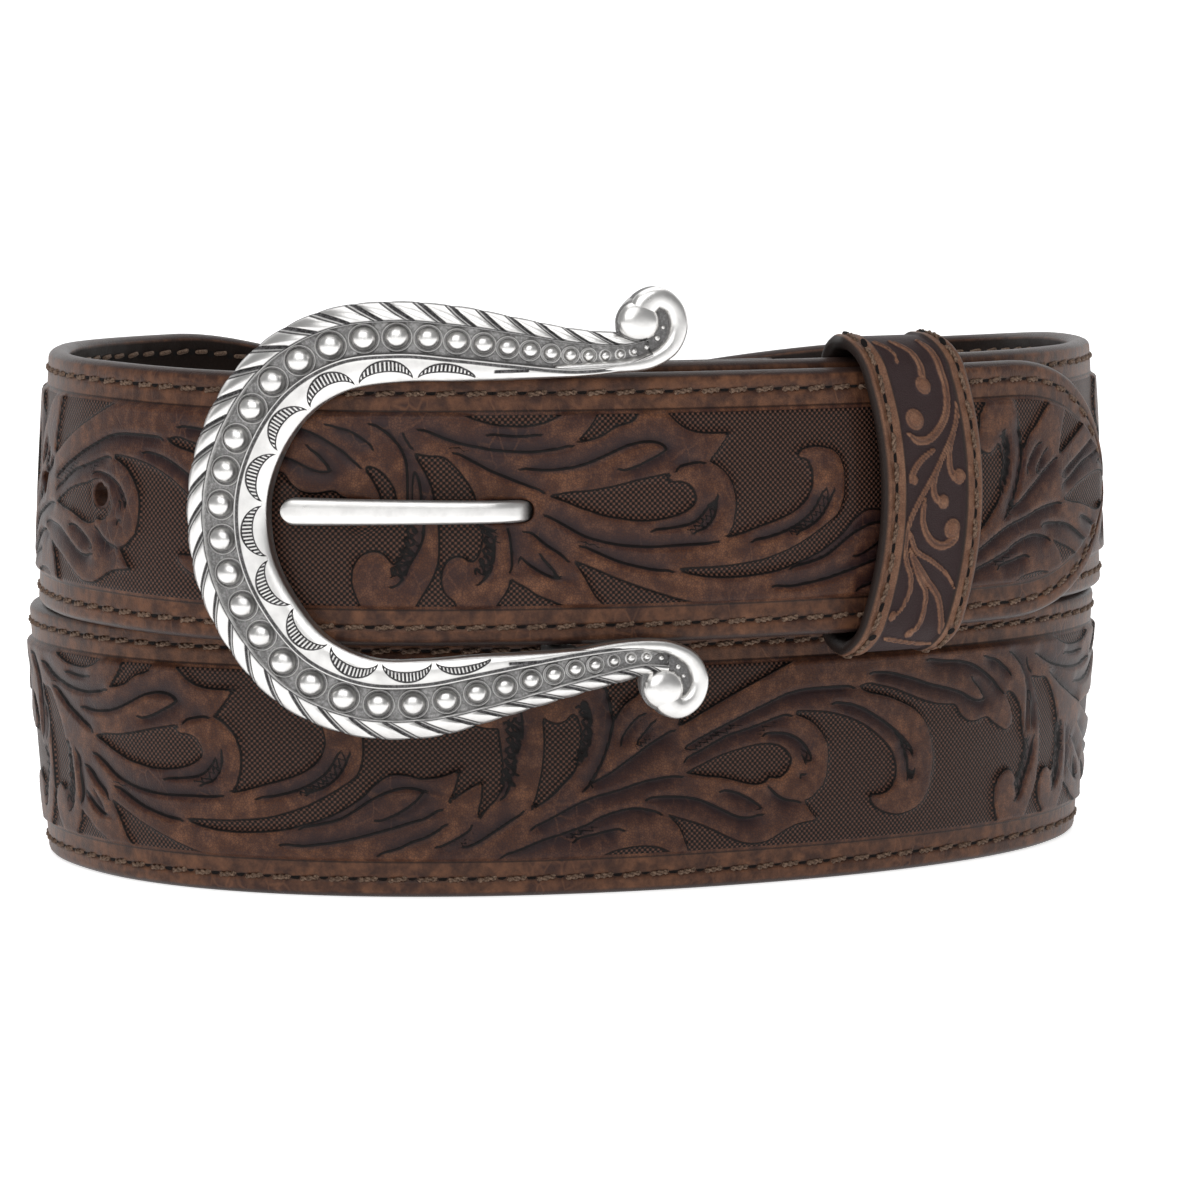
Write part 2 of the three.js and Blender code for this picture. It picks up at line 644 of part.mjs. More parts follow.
// The tongue's side, along and out, with its ring round the bar
function makeTongue() {
  const ringOut = -lapStep - foldRadius;
  const inner = barRadius + clearance;
  const outer = inner + tongueRing;
  const lie = fieldFace + 2 * clearance; // just clear of the billet's field
  const top = lie + tongueThickness;
  const hole = usedHoleFromBar + usedHoleStretch / 2;
  const lieStart = -hole - 2.6;
  const lieEnd = -tongueReach + 2;
  const along = (from, to, out) => Array.from({ length: tongueSteps + 1 }, (_, i) => (
    new THREE.Vector2(from + ((to - from) * i) / tongueSteps, out)));
  const side = new THREE.Shape([
    new THREE.Vector2(-outer * 0.55, ringOut - outer * 0.5),
    new THREE.Vector2(-outer * 0.93, ringOut + 0.4),
    new THREE.Vector2(-hole + 0.4, -backFace),
    new THREE.Vector2(-hole - 1.9, fieldFace),
    ...along(lieStart, lieEnd, lie),
    new THREE.Vector2(-tongueReach + 0.6, lie),
    new THREE.Vector2(-tongueReach, lie + 0.6),
    new THREE.Vector2(-tongueReach + 0.5, top - 0.5),
    ...along(lieEnd, lieStart + 0.4, top),
    new THREE.Vector2(-hole + 0.6, top - 0.7),
    new THREE.Vector2(-hole + 2.4, fieldFace),
    new THREE.Vector2(-hole + 2.9, -backFace - clearance),
    new THREE.Vector2(-1.2, ringOut + outer * 0.85),
    new THREE.Vector2(outer * 0.3, ringOut + outer * 0.4),
  ]);
  const bevel = 0.5;
  const depth = tongueWidth - 2 * bevel;
  const shank = new THREE.ExtrudeGeometry(side, {
    depth,
    bevelEnabled: true,
    bevelSize: bevel * 0.6,
    bevelOffset: -bevel * 0.6,
    bevelThickness: bevel,
    bevelSegments: 1,
  }).translate(0, 0, -depth / 2);
  const place = shank.getAttribute('position');
  for (let i = 0; i < place.count; i += 1) {
    const reach = THREE.MathUtils.clamp((-place.getX(i) - hole) / (tongueReach - hole), 0, 1);
    const rounding = THREE.MathUtils.smoothstep(-place.getX(i), tongueReach - 0.3, tongueReach + 0.8);
    const swell = 1 + (tongueTipWidth / tongueWidth - 1) * reach - 0.45 * rounding;
    place.setZ(i, place.getZ(i) * swell);
  }
  const ring = new THREE.CylinderGeometry(outer, outer, tongueWidth, 20)
    .rotateX(Math.PI / 2)
    .translate(0, ringOut, 0);
  const bore = new THREE.CylinderGeometry(inner, inner, tongueWidth + 4, 16)
    .rotateX(Math.PI / 2)
    .translate(0, ringOut, 0);
  const whole = toSolid(shank).add(toSolid(ring)).subtract(toSolid(bore));
  return bendToFront(toGeometry(whole.translate([0, 0, billetMid])));
}

// The keeper: a leather band round both layers, with its section in the out and height directions
function keeperOutline(inset) {
  const rear = -lapStep - backFace - clearance - keeperWall + inset;
  const front = fieldFace + clearance + keeperWall - inset;
  const low = upperHeight - billetDip - keeperHeadroom - keeperWall + inset;
  const high = upperHeight + strapWidth + keeperHeadroom + keeperWall - inset;
  const radius = Math.max(keeperCorner - inset, 0.5);
  const shape = new THREE.Shape();
  shape.moveTo(rear + radius, low);
  shape.absarc(front - radius, low + radius, radius, -Math.PI / 2, 0);
  shape.absarc(front - radius, high - radius, radius, 0, Math.PI / 2);
  shape.absarc(rear + radius, high - radius, radius, Math.PI / 2, Math.PI);
  shape.absarc(rear + radius, low + radius, radius, Math.PI, 1.5 * Math.PI);
  return shape;
}

function makeKeeper() {
  const outline = keeperOutline(0);
  outline.holes.push(keeperOutline(keeperWall));
  const band = new THREE.ExtrudeGeometry(outline, {
    depth: keeperWidth,
    steps: 4,
    bevelEnabled: false,
    curveSegments: 4,
  });
  const turn = new THREE.Matrix4().makeBasis(
    new THREE.Vector3(0, 1, 0), new THREE.Vector3(0, 0, 1), new THREE.Vector3(1, 0, 0),
  );
  band.applyMatrix4(turn).translate(keeperFromBar - keeperWidth / 2, 0, 0);
  return bendToFront(toGeometry(toSolid(band)));
}

const leather = new THREE.MeshStandardMaterial({ color: 0x4a3025, roughness: 0.55, metalness: 0 });
const keeperLeather = new THREE.MeshStandardMaterial({ color: 0x553625, roughness: 0.55, metalness: 0 });
const silver = new THREE.MeshStandardMaterial({ color: 0xd8d6d2, roughness: 0.25, metalness: 1 });

const belt = new THREE.Group();

function addPiece(name, geometry, material) {
  const piece = new THREE.Mesh(geometry, material);
  piece.name = name;
  belt.add(piece);
}

addPiece('strap', makeStrap(), leather);
addPiece('buckle_frame', makeBuckleFrame(), silver);
addPiece('tongue', makeTongue(), silver);
addPiece('keeper_loop', makeKeeper(), keeperLeather);
addPiece('fold_post', makeFoldPost(), silver);

// The origin is under the middle of what is built, on the surface that it stands on
const size = new THREE.Box3().setFromObject(belt);
belt.position.set(-(size.min.x + size.max.x) / 2, -(size.min.y + size.max.y) / 2, -size.min.z);

export default belt;
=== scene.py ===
# Western tooled belt, buckled and wound into a coil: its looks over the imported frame
# Lengths below are millimetres until a mesh is made; "along" runs from the bar round the coil to the tip.
import math
import bpy
import numpy as np
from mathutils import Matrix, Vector


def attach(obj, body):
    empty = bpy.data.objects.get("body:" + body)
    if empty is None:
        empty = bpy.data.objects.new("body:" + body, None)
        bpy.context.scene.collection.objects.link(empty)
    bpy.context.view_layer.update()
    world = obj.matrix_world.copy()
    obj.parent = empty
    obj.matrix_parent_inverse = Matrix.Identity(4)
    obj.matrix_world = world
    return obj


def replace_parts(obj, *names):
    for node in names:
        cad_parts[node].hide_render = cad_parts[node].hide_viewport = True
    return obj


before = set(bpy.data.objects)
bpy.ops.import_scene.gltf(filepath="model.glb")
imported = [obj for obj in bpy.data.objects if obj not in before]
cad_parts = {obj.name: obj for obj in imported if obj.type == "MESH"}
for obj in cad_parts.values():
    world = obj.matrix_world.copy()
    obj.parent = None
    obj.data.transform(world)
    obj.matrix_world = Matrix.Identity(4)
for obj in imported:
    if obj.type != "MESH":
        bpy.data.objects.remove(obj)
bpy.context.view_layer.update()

mm = 0.001

# Path of the strap

belt = {
    "width": 38.1,
    "back": 1.6,          # mid line to the flesh side
    "border": 1.6,        # mid line to the stitched border
    "padding": 0.7,       # tooled field above the border
    "borderWidth": 5.2,
    "clearance": 0.3,
    "ovalLong": 162,
    "ovalShort": 119,
    "ovalSquareness": 2.2,
    "ovalTurn": 29,
    "lean": 4.5,
    "stackOut": 8.4,
    "lapStep": 4.38,
    "passStep": 4.62,
    "dip": 1.2,
    "barTravel": -3,
    "barToTip": 105,
    "tipLength": 31,
    "tipBlunt": 0.14,
    "coilShift": (0.3554, 6.2057),
}
halfWidth = belt["width"] / 2
upperHeight = belt["width"] + 1.2 * belt["clearance"]
fieldFace = belt["border"] + belt["padding"]
foldRadius = 3.5

# travel, stack, pass, lap, rise, dip, lean: the same stretches as the solid strap
coilRows = np.array([
    (0, 1, 0, 0, 1, 0, 0), (22, .97, 0, 0, 1, 0, 0), (45, .88, 0, 0, 1, 0, 0),
    (62, .68, 0, 0, 1, 0, -.05), (78, .38, .08, 0, 1, 0, -.4), (92, .1, .18, 0, 1, 0, -.7),
    (108, 0, .3, 0, 1, 0, -.6), (130, 0, 1, 0, .96, 0, -.3), (160, 0, 1, 0, .84, 0, 0),
    (200, 0, 1, 0, .42, 0, 0), (232, 0, 1, 0, .08, 0, .3), (250, 0, .96, 0, 0, 0, .6),
    (276, 0, .4, 0, 0, 0, .95), (305, 0, .18, 0, 0, 0, .6), (338, 0, 0, 0, 0, 0, 0),
    (385, 0, 0, 0, 0, 0, 0), (420, 0, 0, 0, 0, 0, .5), (458, 0, 0, 0, 0, 0, .95),
    (480, 0, 0, 0, 0, 0, .5), (520, 0, 0, 0, .16, 0, 0), (560, 0, 0, 0, .58, 0, 0),
    (592, 0, 0, 0, .92, 0, -.3), (610, 0, 0, 0, 1, 0, -.6), (640, 0, 0, 0, 1, 0, -.7),
    (668, .5, 0, .65, 1, .3, -.2), (688, .9, 0, 1, 1, .9, 0), (705, 1, 0, 1, 1, 1, 0),
    (720, 1, 0, 1, 1, 1, 0), (742, .97, 0, 1, 1, 1, 0), (765, .88, 0, 1, 1, 1, 0),
    (782, .68, 0, 1, 1, 1, -.05), (798, .38, .08, 1, 1, 1, -.4), (812, .1, .18, 1, 1, 1, -.7),
    (828, 0, .3, 1, 1, 1, -.6)], float)


def smoothRows(rows, column, at):
    # a curve through the rows that never overshoots one
    x, y = rows[:, 0], rows[:, column]
    h = np.diff(x)
    rate = np.diff(y) / h
    slope = np.zeros(len(x))
    slope[0], slope[-1] = rate[0], rate[-1]
    before, after = rate[:-1], rate[1:]
    same = before * after > 0
    slope[1:-1][same] = 2 * before[same] * after[same] / (before[same] + after[same])
    at = np.asarray(at, float)
    i = np.clip(np.searchsorted(x, at, side="right") - 1, 0, len(h) - 1)
    t = np.clip((at - x[i]) / h[i], 0, 1)
    return (y[i] * (1 + 2 * t) * (1 - t) ** 2 + h[i] * slope[i] * t * (1 - t) ** 2
            + y[i + 1] * t * t * (3 - 2 * t) + h[i] * slope[i + 1] * t * t * (t - 1))


def unit(vectors):
    return vectors / np.linalg.norm(vectors, axis=-1)[..., None]


def ovalPoint(travel):
    angle = np.radians(travel - 90)
    turned = angle - math.radians(belt["ovalTurn"])
    power = belt["ovalSquareness"]
    radius = (np.abs(np.cos(turned) / (belt["ovalLong"] / 2)) ** power
              + np.abs(np.sin(turned) / (belt["ovalShort"] / 2)) ** power) ** (-1 / power)
    return np.stack([np.cos(angle) * radius, np.sin(angle) * radius], -1)


def strandPoint(travel):
    ahead = unit(ovalPoint(travel + .5) - ovalPoint(travel - .5))
    out = np.stack([ahead[..., 1], -ahead[..., 0]], -1)
    stack, passed, lap, rise, dip, lean = (smoothRows(coilRows, k, travel) for k in range(1, 7))
    offset = stack * belt["stackOut"] + passed * belt["passStep"] + lap * belt["lapStep"]
    lean = np.radians(lean * belt["lean"])
    foot = rise * upperHeight - dip * belt["dip"]
    z = foot + halfWidth * np.cos(lean) + .6 * np.abs(np.sin(lean))
    flat = ovalPoint(travel) + out * offset[..., None] + np.array(belt["coilShift"])
    return np.concatenate([flat, z[..., None]], -1), np.concatenate([out, 0 * z[..., None]], -1), lean


fineTravel = np.arange(belt["barTravel"], 828, .25)
finePoints = strandPoint(fineTravel)[0]
fineAlong = np.concatenate([[0], np.cumsum(np.linalg.norm(np.diff(finePoints, axis=0), axis=1))])
coilLength = float(np.interp(belt["barTravel"] + 720, fineTravel, fineAlong))
strapEnd = coilLength + belt["barToTip"]
print("coil length", round(coilLength, 2))


def strandFrame(along):
    travel = np.interp(along, fineAlong, fineTravel)
    point, out, lean = strandPoint(travel)
    ahead = unit(strandPoint(travel + .5)[0] - strandPoint(travel - .5)[0])
    up = unit(np.cross(out, ahead))
    up = up * np.sign(up[..., 2:3])
    c, s = np.cos(lean)[..., None], np.sin(lean)[..., None]
    return point, up * c + out * s, out * c - up * s


def frontPoint(s, out, height):
    # s along the billet from the bar, out from its mid line, height above the surface
    travel = np.interp(coilLength + np.asarray(s, float), fineAlong, fineTravel)
    point, outward, _ = strandPoint(travel)
    place = point + outward * np.asarray(out, float)[..., None]
    place[..., 2] = height
    return place


def halfNearTip(along):
    share = np.clip(1 - (strapEnd - along) / belt["tipLength"], 0, 1)
    return halfWidth * (belt["tipBlunt"] + (1 - belt["tipBlunt"]) * (1 - share ** 2.3) ** .62)


# Meshes and shader helpers

def smoothstep(low, high, x):
    t = np.clip((np.asarray(x, float) - low) / (high - low), 0, 1)
    return t * t * (3 - 2 * t)


def makeMesh(name, points, quads, values, finish, slot):
    mesh = bpy.data.meshes.new(name)
    mesh.vertices.add(len(points))
    mesh.vertices.foreach_set("co", (points * mm).astype(np.float32).ravel())
    # a quad with a repeated corner is a triangle
    corners = quads != np.roll(quads, -1, axis=1)
    sides = corners.sum(1)
    mesh.loops.add(int(sides.sum()))
    mesh.loops.foreach_set("vertex_index", quads[corners].astype(np.int32))
    mesh.polygons.add(len(quads))
    mesh.polygons.foreach_set("loop_start", (np.cumsum(sides) - sides).astype(np.int32))
    for key, value in values.items():
        layer = mesh.attributes.new(key, "FLOAT", "POINT")
        layer.data.foreach_set("value", np.asarray(value, np.float32).ravel())
    mesh.update(calc_edges=True)
    mesh.validate()
    mesh.shade_smooth()
    mesh.materials.append(finish)
    piece = bpy.data.objects.new(name, mesh)
    bpy.context.scene.collection.objects.link(piece)
    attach(piece, "root")
    return piece


def gridQuads(rows, columns, wrapColumns=False, wrapRows=False):
    r = np.arange(rows if wrapRows else rows - 1)
    c = np.arange(columns if wrapColumns else columns - 1)
    r, c = np.meshgrid(r, c, indexing="ij")
    r2, c2 = (r + 1) % rows, (c + 1) % columns
    return np.stack([r * columns + c, r2 * columns + c, r2 * columns + c2, r * columns + c2], -1).reshape(-1, 4)


def capFan(ring, centre):
    following = np.roll(ring, -1)
    return np.stack([ring, following, np.full_like(ring, centre), np.full_like(ring, centre)], -1)


class Wire:
    # one socket of a finish, for sums on values
    def __init__(self, finish, socket):
        self.finish, self.socket = finish, socket

    def sum(self, operation, other, swapped=False):
        pair = [other, self] if swapped else [self, other]
        return self.finish.math(operation, *pair)

    def __add__(self, other):
        return self.sum("ADD", other)

    def __radd__(self, other):
        return self.sum("ADD", other, True)

    def __sub__(self, other):
        return self.sum("SUBTRACT", other)

    def __rsub__(self, other):
        return self.sum("SUBTRACT", other, True)

    def __mul__(self, other):
        return self.sum("MULTIPLY", other)

    def __rmul__(self, other):
        return self.sum("MULTIPLY", other, True)

    def __truediv__(self, other):
        return self.sum("DIVIDE", other)

    def __rtruediv__(self, other):
        return self.sum("DIVIDE", other, True)

    def __pow__(self, other):
        return self.sum("POWER", other)



class Finish:
    # a material whose nodes are added one call at a time
    def __init__(self, name):
        self.material = bpy.data.materials.new(name)
        self.material.use_nodes = True
        self.tree = self.material.node_tree
        self.shader = self.tree.nodes["Principled BSDF"]

    def node(self, kind, settings=None, values=None, output=0):
        made = self.tree.nodes.new(kind)
        for key, value in (settings or {}).items():
            if key == "stops":
                ramp = made.color_ramp
                while len(ramp.elements) < len(value):
                    ramp.elements.new(.5)
                for element, (place, colour) in zip(ramp.elements, value):
                    element.position = place
                    element.color = (*colour, 1)
            else:
                setattr(made, key, value)
        for key, value in (values or {}).items():
            self.plug(made.inputs[key], value)
        return Wire(self, made.outputs[output])

    def plug(self, socket, value):
        if isinstance(value, Wire):
            self.tree.links.new(value.socket, socket)
        elif isinstance(value, tuple) and len(value) == 3 and socket.type == "RGBA":
            socket.default_value = (*value, 1)
        else:
            socket.default_value = value

    def math(self, operation, *values, clamp=False):
        return self.node("ShaderNodeMath", {"operation": operation, "use_clamp": clamp}, dict(enumerate(values)))

    def value(self, name):
        return self.node("ShaderNodeAttribute", {"attribute_name": name}, output=2)

    def step(self, low, high, value):
        # 0 below low, 1 above high, smooth between; low may lie above high
        return self.node("ShaderNodeMapRange", {"interpolation_type": "SMOOTHSTEP"},
                         {"Value": value, "From Min": min(low, high), "From Max": max(low, high),
                          "To Min": 0. if low < high else 1., "To Max": 1. if low < high else 0.})

    def blend(self, factor, first, second, kind="MIX"):
        return self.node("ShaderNodeMix", {"data_type": "RGBA", "blend_type": kind},
                         {0: factor, 6: first, 7: second}, output=2)

    def noise(self, size, detail=3., roughness=.55, place=None, output=0):
        # size in millimetres
        place = place or self.place()
        return self.node("ShaderNodeTexNoise", {},
                         {"Vector": place, "Scale": 1 / (size * mm), "Detail": detail, "Roughness": roughness},
                         output=output)

    def cells(self, size, feature="DISTANCE_TO_EDGE", place=None, random=1.):
        place = place or self.place()
        return self.node("ShaderNodeTexVoronoi", {"feature": feature},
                         {"Vector": place, "Scale": 1 / (size * mm), "Randomness": random})

    def place(self):
        return self.node("ShaderNodeTexCoord", output=3)

    def bump(self, height, distance, strength=1., normal=None):
        values = {"Height": height, "Distance": distance * mm, "Strength": strength}
        if normal:
            values["Normal"] = normal
        return self.node("ShaderNodeBump", {}, values)

    def set(self, **values):
        for key, value in values.items():
            self.plug(self.shader.inputs[key.replace("_", " ")], value)
        return self.material


# The tooling chart
# Drawn in chart units, 32 to the millimetre, y down from the strap's upper edge.
# Each knife line is a run of points; a ground patch is closed. The chart's two sheets follow each
# other along the strap, the second upside down, and repeat after both.

tooling = {
    "unitsPerMm": 32,
    "repeat": 174.4,
    "sheetStart": {"upright": -11, "turned": 74.7},
    "groundDepth": .546,
    "cutDepth": .224,
    "bevelDepth": .459,
    "bevelWidth": 1.5,
    "checkPitch": .80,
}
patches = {
    "upright": [
        [(262, 545), (345, 530), (440, 524), (540, 508), (640, 486), (740, 466), (815, 452), (800, 478),
         (815, 492), (860, 492), (905, 508), (930, 545), (936, 580), (918, 606), (880, 630), (820, 650),
         (740, 662), (660, 663), (580, 651), (510, 638), (440, 614), (390, 596), (340, 574)],
        [(370, 838), (440, 865), (540, 910), (640, 950), (740, 985), (840, 1018), (940, 1045), (985, 1062),
         (540, 1062), (520, 1048), (470, 1000), (430, 930), (400, 880)],
        [(88, 912), (120, 935), (160, 955), (205, 988), (280, 1020), (345, 1048), (320, 1062), (20, 1062),
         (35, 1025), (60, 990), (82, 950)],
        [(-139, 166), (-75, 197), (0, 220), (60, 230), (160, 232), (240, 218), (300, 190), (345, 166)],
        [(385, 306), (440, 245), (470, 200), (482, 166), (672, 166), (640, 214), (560, 240), (500, 278),
         (440, 298)],
        [(800, 166), (805, 182), (860, 235), (920, 265), (990, 276), (1100, 277), (1062, 330), (1022, 380),
         (1000, 402), (1042, 425), (1092, 470), (1122, 530), (1132, 600), (1122, 680), (1097, 735), (1065, 752),
         (1112, 745), (1172, 730), (1252, 705), (1352, 675), (1432, 640), (1492, 590), (1522, 520), (1517, 460),
         (1492, 412), (1447, 402), (1445, 385), (1472, 360), (1532, 350), (1592, 358), (1642, 375), (1682, 430),
         (1694, 520), (1687, 600), (1662, 660), (1592, 712), (1532, 750), (1442, 798), (1342, 836), (1252, 860),
         (1132, 875), (1032, 882), (892, 884), (850, 888), (892, 905), (992, 925), (1112, 932), (1232, 925),
         (1332, 912), (1432, 885), (1532, 850), (1612, 808), (1692, 752), (1740, 700), (1790, 662), (1830, 648),
         (1900, 655), (1946, 668), (2026, 660), (2096, 635), (2131, 612), (2116, 650), (2096, 720), (2061, 790),
         (2106, 750), (2166, 710), (2221, 680), (2216, 760), (2206, 800), (2196, 868), (2246, 800), (2276, 770),
         (2296, 740), (2316, 700), (2308, 650), (2311, 600), (2300, 520), (2290, 440), (2240, 440), (2180, 425),
         (2130, 400), (2093, 330), (2105, 270), (2150, 220), (2165, 166)],
        [(-325, 352), (-267, 363), (-203, 368), (-149, 416), (-107, 469), (-75, 523), (-53, 576), (-37, 667),
         (-34, 747), (-55, 816), (-85, 837), (-117, 816), (-155, 813), (-190, 837), (-211, 885), (-210, 944),
         (-190, 987), (-153, 1020), (-150, 1062), (-340, 1062), (-293, 985), (-254, 917), (-228, 843),
         (-222, 747), (-228, 640), (-245, 544), (-261, 485), (-288, 427), (-320, 373)],
    ],
    "turned": [
        [(425, 672), (500, 642), (570, 612), (640, 590), (720, 572), (800, 560), (860, 562), (910, 575),
         (946, 602), (966, 638), (955, 678), (928, 708), (890, 722), (850, 714), (836, 732), (795, 745),
         (735, 738), (680, 722), (600, 702), (520, 692)],
        [(332, 862), (400, 885), (480, 910), (560, 945), (640, 985), (700, 1010), (760, 1022), (830, 1018),
         (896, 992), (950, 965), (1010, 945), (1070, 938), (1116, 932), (1090, 905), (1060, 865), (1040, 838),
         (1075, 828), (1110, 800), (1145, 768), (1156, 740), (1172, 660), (1170, 600), (1156, 560), (1126, 515),
         (1086, 475), (1036, 447), (990, 430), (996, 418), (1066, 420), (1146, 428), (1226, 445), (1296, 468),
         (1366, 500), (1436, 545), (1496, 595), (1536, 640), (1556, 690), (1561, 740), (1546, 790), (1516, 820),
         (1476, 835), (1411, 835), (1416, 870), (1456, 905), (1516, 930), (1586, 942), (1656, 930), (1716, 905),
         (1756, 860), (1781, 800), (1791, 720), (1789, 650), (1774, 590), (1750, 530), (1708, 478), (1650, 435),
         (1590, 408), (1520, 380), (1450, 362), (1396, 350), (1336, 322), (1396, 308), (1456, 322), (1536, 340),
         (1616, 370), (1696, 400), (1776, 425), (1836, 435), (1885, 440), (1931, 448), (1963, 491), (2017, 528),
         (2081, 533), (2155, 521), (2198, 549), (2305, 597), (2358, 571), (2353, 523), (2326, 469), (2299, 427),
         (2305, 407), (2347, 421), (2390, 459), (2422, 512), (2433, 565), (2449, 629), (2481, 683), (2477, 747),
         (2459, 811), (2427, 853), (2411, 843), (2379, 805), (2337, 789), (2283, 805), (2246, 853), (2235, 917),
         (2246, 971), (2283, 1062), (455, 1062), (435, 1020), (415, 970), (395, 925), (365, 890)],
        [(10, 1062), (40, 1035), (90, 1017), (150, 1007), (220, 1003), (290, 1012), (340, 1035), (385, 1062)],
        [(385, 455), (440, 432), (500, 400), (580, 360), (680, 312), (780, 268), (870, 228), (946, 195),
         (1010, 166), (505, 166), (470, 215), (435, 300), (405, 380)],
        [(48, 285), (62, 330), (75, 400), (85, 415), (105, 375), (140, 335), (185, 305), (230, 260), (290, 215),
         (350, 185), (375, 166), (5, 166), (20, 215), (35, 250)],
        [(-250, 395), (-226, 412), (-186, 425), (-146, 412), (-118, 380), (-95, 395), (-73, 470), (-82, 560),
         (-104, 640), (-156, 700), (-216, 760), (-276, 800), (-311, 818), (-290, 780), (-268, 700), (-250, 600),
         (-245, 500)],
        [(-350, 166), (-330, 210), (-292, 280), (-262, 340), (-250, 300), (-240, 240), (-215, 200), (-190, 166)],
    ],
}
